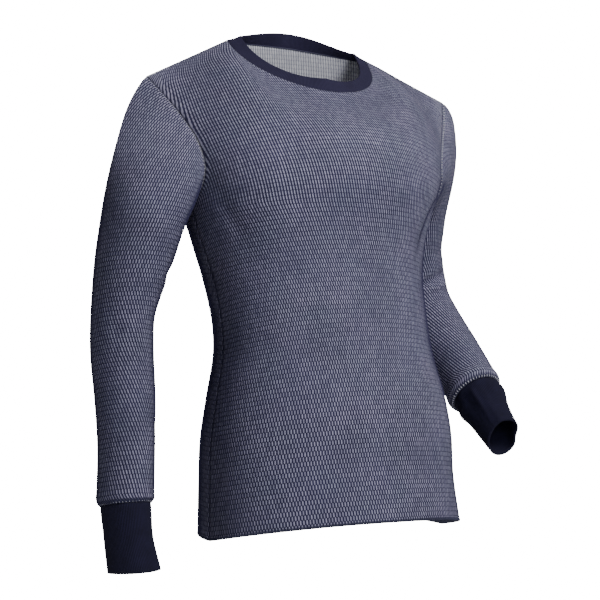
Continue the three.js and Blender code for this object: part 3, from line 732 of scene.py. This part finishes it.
def shell_arrays(part):
    """Closed wall between a piece's outer and inner grid: points, quads, their UVs from the cut coordinates
    (one more column than a closed grid), and 0, 1 or 2 for outer face, inner face and rim."""
    outer, cut, way = part["outer"], part["cut"] * MM, part["outward"]
    rows, columns = outer.shape[:2]
    spans = columns if part["closed"] else columns - 1
    layer = rows * columns
    corners = cells(rows - 1, spans)
    faces = np.stack([a * columns + b % columns for a, b in corners], axis=1)
    places = np.stack([cut[a, b] for a, b in corners], axis=1)
    quads, uvs = [faces, faces[:, ::-1] + layer], [places, places[:, ::-1]]
    kinds = [np.zeros(len(faces), int), np.ones(len(faces), int)]
    around, up = np.arange(spans + 1) % columns, np.arange(rows) * columns
    rims = [(around, cut[0], 1), ((rows - 1) * columns + around, cut[-1], -1)]
    if not part["closed"]:
        rims += [(up, cut[:, 0], -1), (up + columns - 1, cut[:, -1], 1)]
    for edge, place, turn in rims:
        a, b = edge[:-1], edge[1:]
        quads.append(np.stack([b, a, a + layer, b + layer], axis=1)[:, ::turn])
        uvs.append(np.stack([place[1:], place[:-1], place[:-1], place[1:]], axis=1)[:, ::turn])
        kinds.append(np.full(len(a), 2))
    points = np.concatenate([outer.reshape(-1, 3), part["inner"].reshape(-1, 3)])
    return points, np.concatenate(quads)[:, ::way], np.concatenate(uvs)[:, ::way], np.concatenate(kinds)


def read_grid(values, rows, columns):
    """Values of a grid at fractional rows and columns, blended from the four points round each place."""
    rows = np.clip(rows, 0, values.shape[0] - 1 - SMALL_STEP)
    columns = np.clip(columns, 0, values.shape[1] - 1 - SMALL_STEP)
    r, c = rows.astype(int), columns.astype(int)
    up, over = rows - r, columns - c
    if values.ndim == 3:
        up, over = up[..., None], over[..., None]
    low = values[r, c] * (1 - over) + values[r, c + 1] * over
    return low * (1 - up) + (values[r + 1, c] * (1 - over) + values[r + 1, c + 1] * over) * up


def wale_places(cut, across, up):
    """Fractional rows and columns of the nodes of straight wales, and which of them lie on the cut. First
    it finds where each wale crosses every row of the grid, then how far up the wale each node lies; a
    node past a cut edge is drawn back onto it."""
    rows, columns = np.arange(cut.shape[0]), np.arange(cut.shape[1])
    ends = {"left": -0.5, "right": columns[-1] + 0.5}
    crossing = np.stack([np.interp(across, line, columns, **ends) for line in cut[..., 0]])
    reached = read_grid(cut[..., 1], rows[:, None] + 0 * crossing, crossing)
    if reached[0, 0] > reached[-1, 0]:
        rows, crossing, reached = rows[::-1], crossing[::-1], reached[::-1]
    reached = np.maximum.accumulate(reached, axis=0) + SMALL_STEP * np.arange(len(rows))[:, None]
    found_rows = np.stack([np.interp(up, line, rows) for line in reached.T])
    found_columns = np.stack([np.interp(up, line, over) for line, over in zip(reached.T, crossing.T)])
    inside = (up >= reached[:1].T) & (up <= reached[-1:].T)
    return found_rows, found_columns, inside & (found_columns >= 0) & (found_columns <= columns[-1])


def moved_places(cut, rows, columns, wanted):
    """Fractional rows and columns moved until their cut coordinates are the wanted ones. Each step solves
    the two straight-line equations of the change per row and per column for what is still missing."""
    per_row, per_column = np.gradient(cut, axis=0), np.gradient(cut, axis=1)
    for _ in range(SEARCH_STEPS):
        missing = wanted - read_grid(cut, rows, columns)
        r, c = read_grid(per_row, rows, columns), read_grid(per_column, rows, columns)
        both = r[..., 0] * c[..., 1] - c[..., 0] * r[..., 1]
        row_step = (missing[..., 0] * c[..., 1] - c[..., 0] * missing[..., 1]) / both
        column_step = (r[..., 0] * missing[..., 1] - missing[..., 0] * r[..., 1]) / both
        rows = np.clip(rows + np.clip(row_step, -1, 1), 0, cut.shape[0] - 1)
        columns = np.clip(columns + np.clip(column_step, -1, 1), 0, cut.shape[1] - 1)
    return rows, columns


def float_slant(name):
    """Lean of the floats at each point of a knit piece, by its height."""
    least, change, low, high = FLOAT_SLANT[name]
    return least + change * smooth_step(TOP[name]["outer"][..., 2], low, high)


def net_arrays(name, column_pitch, row_pitch):
    """Net of wales: ribbons half a column pitch apart. In each row a ribbon has one edge high, where it
    meets its neighbour, and one low beside a window; the sides change places from row to row, so that
    the windows are staggered. Two nodes a row, leaning with the floats."""
    part = TOP[name]
    cut = part["cut"]
    half = column_pitch / 2
    wales = np.arange(math.floor(cut[..., 0].min() / half), math.ceil(cut[..., 0].max() / half))
    rows = np.arange(math.ceil(cut[..., 1].max() / row_pitch))
    nodes = np.array([-NET_NODE, NET_NODE])
    node_up = ((rows[:, None] + 0.5 + nodes) * row_pitch).ravel()
    middle = (wales + 0.5) * half
    r, c, inside = wale_places(cut, middle, node_up)
    grids = (float_slant(name), part["outer"], part["normals"])
    slant, surface, outwards = (wrapped(grid, part["closed"]) for grid in grids)
    lean = read_grid(slant, r, c) * (np.tile(nodes, len(rows)) * row_pitch)
    window_on_right = (np.repeat(rows, 2) + wales[:, None]) % 2 == 0
    far, near = half / 2, (half - NET_WINDOW) / 2
    left, right = np.where(window_on_right, -far, -near), np.where(window_on_right, near, far)
    place = read_grid(surface, r, c)
    by_left = smooth_step(place[..., 0], *NET_LEFT_FLATTENING) * NET_LEFT_MOST
    flatter = np.maximum(smooth_step(place[..., 2], *NET_FLATTENING), by_left)
    points, places = [], []
    for offset, high in ((left, window_on_right), (right, ~window_on_right)):
        wanted = together(middle[:, None] - lean + offset, node_up)
        edge = moved_places(cut, r, c, np.where(inside[..., None], wanted, read_grid(cut, r, c)))
        height = np.where(high, NET_CROWN, NET_FOOT) * (1 - (1 - NET_FLATTENED) * flatter)
        points.append(read_grid(surface, *edge) + unit(read_grid(outwards, *edge)) * height[..., None])
        places.append(wanted)
    w, n = np.nonzero(inside[:, :-1] | inside[:, 1:])
    a = w * inside.shape[1] + n
    quads = np.stack([a, a + inside.size, a + 1 + inside.size, a + 1], axis=1)
    way = -part["outward"] if part["closed"] else part["outward"]
    used, quads = np.unique(quads[:, ::way], return_inverse=True)
    quads = quads.reshape(-1, 4)
    return np.reshape(points, (-1, 3))[used], quads, np.reshape(places, (-1, 2))[used][quads]


def seam_line(part, edge, inset):
    """Points on a cut piece at a set distance in from one of its cut edges, measured on the cloth, with
    the way into the cloth and the way out of its face at each."""
    grids = [wrapped(part[key], part["closed"]) for key in ("outer", "normals")]
    if edge.endswith("column"):
        grids = [grid.swapaxes(0, 1) for grid in grids]
    if edge.startswith("last") or edge.endswith("shoulder"):
        grids = [grid[::-1] for grid in grids]
    if edge.endswith("shoulder"):
        seam = slice(NECK_COLUMN + 1) if edge.startswith("right") else slice(-NECK_COLUMN - 1, None)
        grids = [grid[:, seam] for grid in grids]
    grid, normals = grids
    rows, columns = np.arange(len(grid)), np.arange(grid.shape[1])
    rows = np.array([np.interp(inset, line, rows) for line in along_columns(grid).T])
    points = read_grid(grid, rows, columns)
    further = read_grid(grid, rows + STEP_IN, columns)
    return points, unit(further - points), unit(read_grid(normals, rows, columns))


def stitch_arrays(points, inwards, out, every, length, thickness, across):
    """A row of stitches as small tubes: each runs partly across and partly along the edge, rises to an
    arch half its length across, and dips into the cloth at both ends."""
    along = distances(points)
    at = np.arange(every / 2, along[-1], every)
    place, inwards, out, run = (
        together(*(np.interp(at, along, column) for column in values.T))
        for values in (points, inwards, out, np.gradient(points, axis=0))
    )
    way = unit(inwards * across + unit(run) * (1 - across))
    place, way, out, aside = (value[:, None, None] for value in (place, way, out, unit(np.cross(way, out))))
    s = np.linspace(-0.5, 0.5, STITCH_RINGS)[:, None, None]
    turn = turns_round(range(STITCH_SIDES))[:, None]
    width = thickness / 2 * np.sqrt(1 - (STITCH_ARCH["taper"] * s) ** 2)
    rise = thickness * (STITCH_ARCH["rise"] - STITCH_ARCH["dip"] * s**2)
    tube = place + way * s * length + out * (rise + width * np.sin(turn)) + aside * width * np.cos(turn)
    corners = cells(STITCH_RINGS - 1, STITCH_SIDES)
    one = np.stack([a * STITCH_SIDES + b % STITCH_SIDES for a, b in corners], axis=1)
    quads = one + (np.arange(len(at)) * STITCH_RINGS * STITCH_SIDES)[:, None, None]
    return tube.reshape(-1, 3), quads.reshape(-1, 4)


def roll_arrays(part):
    """Roll of seam allowance inside the first row of a rib: circles of the roll's radius round each point
    of the row, which lie in the plane of the cloth's outward direction and its way along."""
    centre = part["outer"][:1] + (part["inner"][:1] - part["outer"][:1]) * ROLL_DEPTH
    centre = wrapped(centre, True)[0]
    out = wrapped(part["normals"][:1], True)[0]
    aside = unit(np.cross(out, unit(np.gradient(centre, axis=0))))
    turn = turns_round(range(2 * STITCH_SIDES))[:, None]
    circles = np.cos(turn) * out[:, None] + np.sin(turn) * aside[:, None]
    points = (centre[:, None] + SEAM_ROLL * circles)[:-1]
    count, sides = points.shape[:2]
    quads = np.stack([(a % count) * sides + b % sides for a, b in cells(count, sides)], axis=1)
    return points.reshape(-1, 3), quads[:, [0, 3, 2, 1]]


def sew(name, cloth):
    """One cut piece: its shell, its net or its roll of seam allowance, and its rows of stitches. The strip
    inside the hem is overlocked. A sleeve's last strip is navy as painted shade in the cuff seam's dip, and
    its inner face in the underarm crease is navy as painted shade in the armpit."""
    part = TOP[name]
    kind, _, finish, held, flat, area, rests_on = PIECES[name]
    points, quads, uvs, kinds = shell_arrays(part)
    inner = np.flatnonzero(kinds == 1)
    if kind == "panel":
        kinds[inner[: part["outer"].shape[1] - 1]] = 2
    if kind == "sleeve":
        # A sleeve's inner face in the underarm crease takes the navy thread colour, as painted shade in the
        # armpit
        kinds[inner[part["crease"][:-1].ravel()]] = 2
        # A sleeve's strip next to the cuff seam takes the navy thread colour, as painted shade in the seam's
        # dip
        kinds[(kinds == 0) & (uvs[..., 1].mean(axis=1) < SEAM_SHADE_STRIP * MM)] = 2
    materials = ("knit", "inside", "thread") if finish == "thermal_knit" else (finish,) * 3
    piece = add_mesh(f"{name}_cloth", points, quads, materials, name, uvs, kinds)
    if finish == "thermal_knit":
        slant = np.tile(float_slant(name).ravel(), 2).astype(np.float32)
        piece.data.attributes.new("slant", "FLOAT", "POINT").data.foreach_set("value", slant)
        points, quads, places = net_arrays(name, cloth.column_pitch, cloth.row_pitch)
        add_mesh(f"{name}_net", points, quads, ("net",), name, places * MM)
    if finish == "neck_rib":
        add_mesh(f"{name}_seam_roll", *roll_arrays(part), ("thread",), name)
    for _, edge, every, length, inset, thickness, across, yarn in (row for row in STITCHES if row[0] == name):
        arrays = stitch_arrays(*seam_line(part, edge, inset), every, length, thickness, across)
        add_mesh(f"{name}_{edge}_stitches", *arrays, (yarn,), name)


# Materials


def linear(hex_colour):
    """Linear RGBA from an sRGB colour such as #2e3148."""
    value = [int(hex_colour[k : k + 2], 16) / 255 for k in (1, 3, 5)]
    return tuple(v / 12.92 if v <= 0.04045 else ((v + 0.055) / 1.055) ** 2.4 for v in value) + (1.0,)


def feed(node, inputs):
    """Sets a node's inputs, or links them to another node's output."""
    for key, value in inputs.items():
        if isinstance(value, bpy.types.NodeSocket):
            node.id_data.links.new(value, node.inputs[key])
        else:
            node.inputs[key].default_value = value


def add_node(tree, kind, inputs=None, output=0, **settings):
    """Adds a node with its settings and inputs, and returns one of its outputs, or several for a slice."""
    new = tree.nodes.new(f"ShaderNode{kind}")
    for name, value in settings.items():
        setattr(new, name, value)
    feed(new, inputs or {})
    return new.outputs[output]


def new_material(name, roughness, sheen=0.0, sheen_colour="#ffffff", specular=0.3):
    """Material with a matt cloth shader, and its node tree."""
    material = bpy.data.materials.new(name)
    material.use_nodes = True
    values = {"Roughness": roughness, "Specular IOR Level": specular, "Sheen Weight": sheen}
    values |= {"Sheen Roughness": 0.45, "Sheen Tint": linear(sheen_colour)}
    feed(material.node_tree.nodes["Principled BSDF"], values)
    return material, material.node_tree


def colour_and_relief(tree, weight, low, high, height, relief, strength):
    """Mixes two colours by a weight and raises the surface by a height, and gives both to the shader."""
    colour = add_node(tree, "Mix", {0: weight, 6: low, 7: high}, 2, data_type="RGBA")
    bump = add_node(tree, "Bump", {"Height": height, "Distance": relief * MM, "Strength": strength})
    feed(tree.nodes["Principled BSDF"], {"Base Color": colour, "Normal": bump})


def float_cells(tree, column_pitch, row_pitch, width, length):
    """1 on each slanted float and 0 between them, and a number for each cell. The cells are staggered from
    row to row, and a float is a blunt-ended oval in its cell, with its width and length as shares of it."""
    place = add_node(tree, "UVMap", uv_map="cut")
    pitch = (column_pitch * MM, row_pitch * MM, 1)
    scaled = add_node(tree, "VectorMath", {0: place, 1: pitch}, operation="DIVIDE")
    row = add_node(tree, "Math", {0: add_node(tree, "SeparateXYZ", {0: scaled}, 1)}, operation="FLOOR")
    odd = add_node(tree, "Math", {0: row, 1: 2.0}, operation="FLOORED_MODULO")
    odd = add_node(tree, "CombineXYZ", {0: odd})
    shifted = add_node(tree, "VectorMath", {0: odd, 1: (0.5, 0, 0), 2: scaled}, operation="MULTIPLY_ADD")
    cell = add_node(tree, "VectorMath", {0: shifted}, operation="FLOOR")
    number = add_node(tree, "TexWhiteNoise", {"Vector": cell}, noise_dimensions="2D")
    within = add_node(tree, "VectorMath", {0: shifted, 1: cell}, operation="SUBTRACT")
    size = {1: (column_pitch, row_pitch, 0), 2: (-column_pitch / 2, -row_pitch / 2, 0)}
    within = add_node(tree, "VectorMath", {0: within, **size}, operation="MULTIPLY_ADD")
    side, run = add_node(tree, "SeparateXYZ", {0: within}, slice(0, 2))
    slant = add_node(tree, "Attribute", None, "Fac", attribute_name="slant")
    side = add_node(tree, "Math", {0: run, 1: slant, 2: side}, operation="MULTIPLY_ADD")
    side = add_node(tree, "Math", {0: side, 1: column_pitch * width / 2}, operation="DIVIDE")
    side = add_node(tree, "Math", {0: side, 1: side}, operation="MULTIPLY")
    end = add_node(tree, "Math", {0: run, 1: row_pitch * length / 2}, operation="DIVIDE")
    end = add_node(tree, "Math", {0: end, 1: end}, operation="MULTIPLY")
    far = add_node(tree, "Math", {0: end, 1: end, 2: side}, operation="MULTIPLY_ADD")
    fade = {"Value": far, "From Min": 0.35, "From Max": 1.5, "To Min": 1.0, "To Max": 0.0}
    return add_node(tree, "MapRange", fade, interpolation_type="SMOOTHSTEP"), number


def thermal_knit(name, ground, pale, tint, column_pitch, row_pitch, width, length, sheen, relief):
    """Raschel thermal knit of cotton and polyester: a dark net of wales with pale floats in staggered rows,
    drawn coarser than the real knit so that they show. Matt, with soft loose fibres that catch light at a
    low angle; every float differs a little, and broad patches of painted light and shade brighten and dim
    the floats."""
    material, tree = new_material(name, 0.92, sheen)
    mask, number = float_cells(tree, column_pitch, row_pitch, width, length)
    place = add_node(tree, "TexCoord", None, "Object")
    # worn is broad noise that paints patches of light and shade on the floats, through patchy
    worn = add_node(tree, "TexNoise", {"Vector": place, "Scale": 9.0, "Detail": 3.0})
    mottle = add_node(tree, "TexNoise", {"Vector": place, "Scale": 22.0, "Detail": 4.0})
    uneven = add_node(tree, "Math", {0: number, 1: 0.4, 2: 0.6}, operation="MULTIPLY_ADD")
    patchy = add_node(tree, "Math", {0: worn, 1: 0.9, 2: 0.55}, operation="MULTIPLY_ADD")
    weight = add_node(tree, "Math", {0: mask, 1: uneven}, operation="MULTIPLY")
    weight = add_node(tree, "Math", {0: weight, 1: patchy}, operation="MULTIPLY", use_clamp=True)
    yarn = add_node(tree, "Mix", {0: mottle, 6: linear(pale), 7: linear(tint)}, 2, data_type="RGBA")
    colour_and_relief(tree, weight, linear(ground), yarn, mask, relief, 0.6)
    return material


def yarn_net(name, dark, light, sheen, sheen_colour):
    """Navy yarn of the raised net: matt, slightly hairy, in two close tones with a fine twist."""
    material, tree = new_material(name, 0.9, sheen, sheen_colour)
    place = add_node(tree, "TexCoord", None, "Object")
    twist = add_node(tree, "TexNoise", {"Vector": place, "Scale": 420.0, "Detail": 3.0})
    patches = add_node(tree, "TexNoise", {"Vector": place, "Scale": 14.0, "Detail": 3.0})
    weight = add_node(tree, "Math", {0: twist, 1: patches}, operation="MULTIPLY", use_clamp=True)
    weight = add_node(tree, "Math", {0: weight, 1: 2.6}, operation="MULTIPLY", use_clamp=True)
    colour_and_relief(tree, weight, linear(dark), linear(light), twist, 0.3, 0.5)
    return material


def rib_knit(name, dark, light, rib_pitch, sheen, relief):
    """Fine cotton rib with elastane: even lengthwise cords with a narrow valley between them. Matt and
    dense, with painted shade that makes the valleys a little darker than the cords' crowns."""
    material, tree = new_material(name, 0.9, sheen, light)
    place = add_node(tree, "UVMap", uv_map="cut")
    turns = (2 * math.pi / (rib_pitch * MM), 2 * math.pi / (1.1 * MM), 0)
    turned = add_node(tree, "VectorMath", {0: place, 1: turns}, operation="MULTIPLY")
    cord, loop = add_node(tree, "SeparateXYZ", {0: turned}, slice(0, 2))
    wave = add_node(tree, "Math", {0: cord}, operation="COSINE")
    stitch = add_node(tree, "Math", {0: loop}, operation="SINE")
    height = add_node(tree, "Math", {0: stitch, 1: 0.16, 2: wave}, operation="MULTIPLY_ADD")
    reach = {"Value": height, "From Min": -1.0, "From Max": 1.0}
    crown = add_node(tree, "MapRange", reach, interpolation_type="SMOOTHSTEP")
    place = add_node(tree, "TexCoord", None, "Object")
    fibres = add_node(tree, "TexNoise", {"Vector": place, "Scale": 60.0, "Detail": 4.0})
    # The colour follows the cords' height: the darker valleys are painted shade
    weight = add_node(tree, "Math", {0: crown, 1: fibres}, operation="MULTIPLY")
    colour_and_relief(tree, weight, linear(dark), linear(light), crown, relief, 0.7)
    return material


def thread(name, dark, light):
    """Spun polyester sewing thread: matt with a slight gleam, in two close tones from its twist."""
    material, tree = new_material(name, 0.6, 0.15, light, 0.4)
    place = add_node(tree, "TexCoord", None, "Object")
    twist = add_node(tree, "TexNoise", {"Vector": place, "Scale": 900.0, "Detail": 2.0})
    colour_and_relief(tree, twist, linear(dark), linear(light), twist, 0.2, 0.4)
    return material


# What a user may change


class ThermalTopCloth(bpy.types.PropertyGroup):
    """Sizes and colours of the cloths"""

    wall: FloatProperty(name="Knit", description="Its thickness in mm", default=1.8, min=0.5, max=3)
    rib_wall: FloatProperty(name="Ribs", description="Their thickness in mm", default=2.4, min=0.5, max=4)
    column_pitch: FloatProperty(name="Columns", description="Width of one in mm", default=4.0, min=1, max=10)
    row_pitch: FloatProperty(name="Rows", description="Height of one in mm", default=6.3, min=1, max=15)
    rib_pitch: FloatProperty(name="Cords", description="Width of one in mm", default=2.2, min=0.8, max=6)
    ground: StringProperty(name="Ground", description="Colour of the dark yarn outside", default="#2f2f49")
    pale: StringProperty(name="Floats", description="Colour of the pale floats outside", default="#b7aecb")
    tint: StringProperty(name="Tint", description="Second colour of the mottled floats", default="#98a2b3")


class ThermalTopStage(bpy.types.PropertyGroup):
    """Where the camera stands and how strong the lights are"""

    turn: FloatProperty(name="Turn", description="To the right", default=math.radians(30), subtype="ANGLE")
    pitch: FloatProperty(name="Pitch", description="Looking up", default=math.radians(2.69), subtype="ANGLE")
    distance: FloatProperty(name="Distance", description="From the upright axis", default=2.4, unit="LENGTH")
    height: FloatProperty(name="Height", description="Camera over the origin", default=-0.475, unit="LENGTH")
    lens: FloatProperty(name="Lens", description="In mm, on a 36 mm sensor", default=100.8)
    floor: FloatProperty(name="Floor", description="Height over the origin", default=-1.45, unit="LENGTH")
    ambient: FloatProperty(name="Ambient", description="Even light from all sides", default=0.06)
    backdrop: FloatProperty(name="Backdrop", description="Its brightness", default=20.0)


class MESH_OT_top_cloths(bpy.types.Operator):
    """Mix the knits, ribs and threads"""

    bl_idname = "mesh.top_cloths"
    bl_label = "Cloths"

    def execute(self, context):
        cloth = context.scene.thermal_top_cloth
        work_out_top(cloth)
        outside = (cloth.ground, cloth.pale, cloth.tint, cloth.column_pitch, cloth.row_pitch)
        inside = ("#a9abb9", "#ffffff", "#eceef4", cloth.column_pitch, cloth.row_pitch)
        MATERIALS["knit"] = thermal_knit("Pale float yarn", *outside, 0.62, 1.1, 0.1, 0.5)
        MATERIALS["inside"] = thermal_knit("Brushed inner face", *inside, 0.66, 1.05, 0.2, 0.4)
        MATERIALS["net"] = yarn_net("Navy raschel wales", "#21203a", "#363557", 0.22, "#74729c")
        MATERIALS["neck_rib"] = rib_knit("Fine navy rib", "#211e37", "#3a3658", cloth.rib_pitch, 0.2, 0.5)
        MATERIALS["cuff_rib"] = rib_knit("Dark navy rib", "#100f22", "#28264a", cloth.rib_pitch, 0.15, 0.5)
        MATERIALS["thread"] = thread("Navy overlock thread", "#23243a", "#4a4c68")
        MATERIALS["pale_thread"] = thread("Pale seam thread", "#c6c8d6", "#fafafc")
        return {"FINISHED"}


class MESH_OT_top_body(bpy.types.Operator):
    """Sew the front and back panels"""

    bl_idname = "mesh.top_body"
    bl_label = "Front and back"

    def execute(self, context):
        for name in ("front", "back"):
            sew(name, context.scene.thermal_top_cloth)
        return {"FINISHED"}


class MESH_OT_top_sleeves(bpy.types.Operator):
    """Sew both sleeves"""

    bl_idname = "mesh.top_sleeves"
    bl_label = "Sleeves"

    def execute(self, context):
        for side in SIDES:
            sew(f"sleeve_{side}", context.scene.thermal_top_cloth)
        return {"FINISHED"}


class MESH_OT_top_ribs(bpy.types.Operator):
    """Sew the rib cuffs and the neckband"""

    bl_idname = "mesh.top_ribs"
    bl_label = "Cuffs and neckband"

    def execute(self, context):
        for name in ("cuff_right", "cuff_left", "neckband"):
            sew(name, context.scene.thermal_top_cloth)
        return {"FINISHED"}


class MESH_OT_top_stage(bpy.types.Operator):
    """Set the floor, the lights and the camera"""

    bl_idname = "mesh.top_stage"
    bl_label = "Stage"

    def execute(self, context):
        stage = context.scene.thermal_top_stage
        MATERIALS["floor"], tree = new_material("Matt white floor", 0.9)
        feed(tree.nodes["Principled BSDF"], {"Base Color": linear("#fafafa")})
        corners = np.array([[-1, -1, 0], [1, -1, 0], [1, 1, 0], [-1, 1, 0]]) * FLOOR_HALF
        add_mesh("floor", corners + [0, 0, stage.floor / MM], [[0, 1, 2, 3]], ("floor",))

        world = bpy.data.worlds.new("White studio")
        world.use_nodes = True
        tree = world.node_tree
        seen = {"Value": add_node(tree, "LightPath"), "To Min": stage.ambient, "To Max": stage.backdrop}
        white = {"Color": linear("#ffffff"), "Strength": add_node(tree, "MapRange", seen)}
        feed(tree.nodes["Background"], white)
        context.scene.world = world

        for name, place, aim, power, size, colour in LIGHTS:
            light = bpy.data.lights.new(name, "AREA")
            light.energy = power
            light.size = size
            light.color = linear(colour)[:3]
            lamp = bpy.data.objects.new(name, light)
            run = np.array(aim) - np.array(place)
            lamp.location = place
            lamp.rotation_euler = (math.acos(-unit(run)[2]), 0, math.atan2(-run[0], run[1]))
            context.scene.collection.objects.link(lamp)

        camera = bpy.data.cameras.new("photo view")
        camera.lens = stage.lens
        camera.sensor_width = 36
        viewer = bpy.data.objects.new("photo view", camera)
        away = (-math.sin(stage.turn) * stage.distance, -math.cos(stage.turn) * stage.distance)
        viewer.location = (*away, stage.height)
        viewer.rotation_euler = (math.pi / 2 + stage.pitch, 0, -stage.turn)
        context.scene.collection.objects.link(viewer)
        context.scene.camera = viewer
        return {"FINISHED"}


STEPS = (MESH_OT_top_cloths, MESH_OT_top_body, MESH_OT_top_sleeves, MESH_OT_top_ribs, MESH_OT_top_stage)


class VIEW3D_PT_thermal_top(bpy.types.Panel):
    """Lists the steps that build the thermal top"""

    bl_label = "Thermal top"
    bl_idname = "VIEW3D_PT_thermal_top"
    bl_space_type = "VIEW_3D"
    bl_region_type = "UI"
    bl_category = "Thermal top"

    def draw(self, context):
        for group in (context.scene.thermal_top_cloth, context.scene.thermal_top_stage):
            for name in group.__annotations__:
                self.layout.prop(group, name)
        for step in STEPS:
            self.layout.operator(step.bl_idname)


CLASSES = (ThermalTopCloth, ThermalTopStage, *STEPS, VIEW3D_PT_thermal_top)


def register():
    for cls in CLASSES:
        bpy.utils.register_class(cls)
    bpy.types.Scene.thermal_top_cloth = PointerProperty(type=ThermalTopCloth)
    bpy.types.Scene.thermal_top_stage = PointerProperty(type=ThermalTopStage)


def unregister():
    del bpy.types.Scene.thermal_top_stage
    del bpy.types.Scene.thermal_top_cloth
    for cls in reversed(CLASSES):
        bpy.utils.unregister_class(cls)


def main():
    register()
    bpy.ops.mesh.top_cloths()
    bpy.ops.mesh.top_body()
    bpy.ops.mesh.top_sleeves()
    bpy.ops.mesh.top_ribs()
    bpy.ops.mesh.top_stage()


if __name__ == "__main__":
    main()
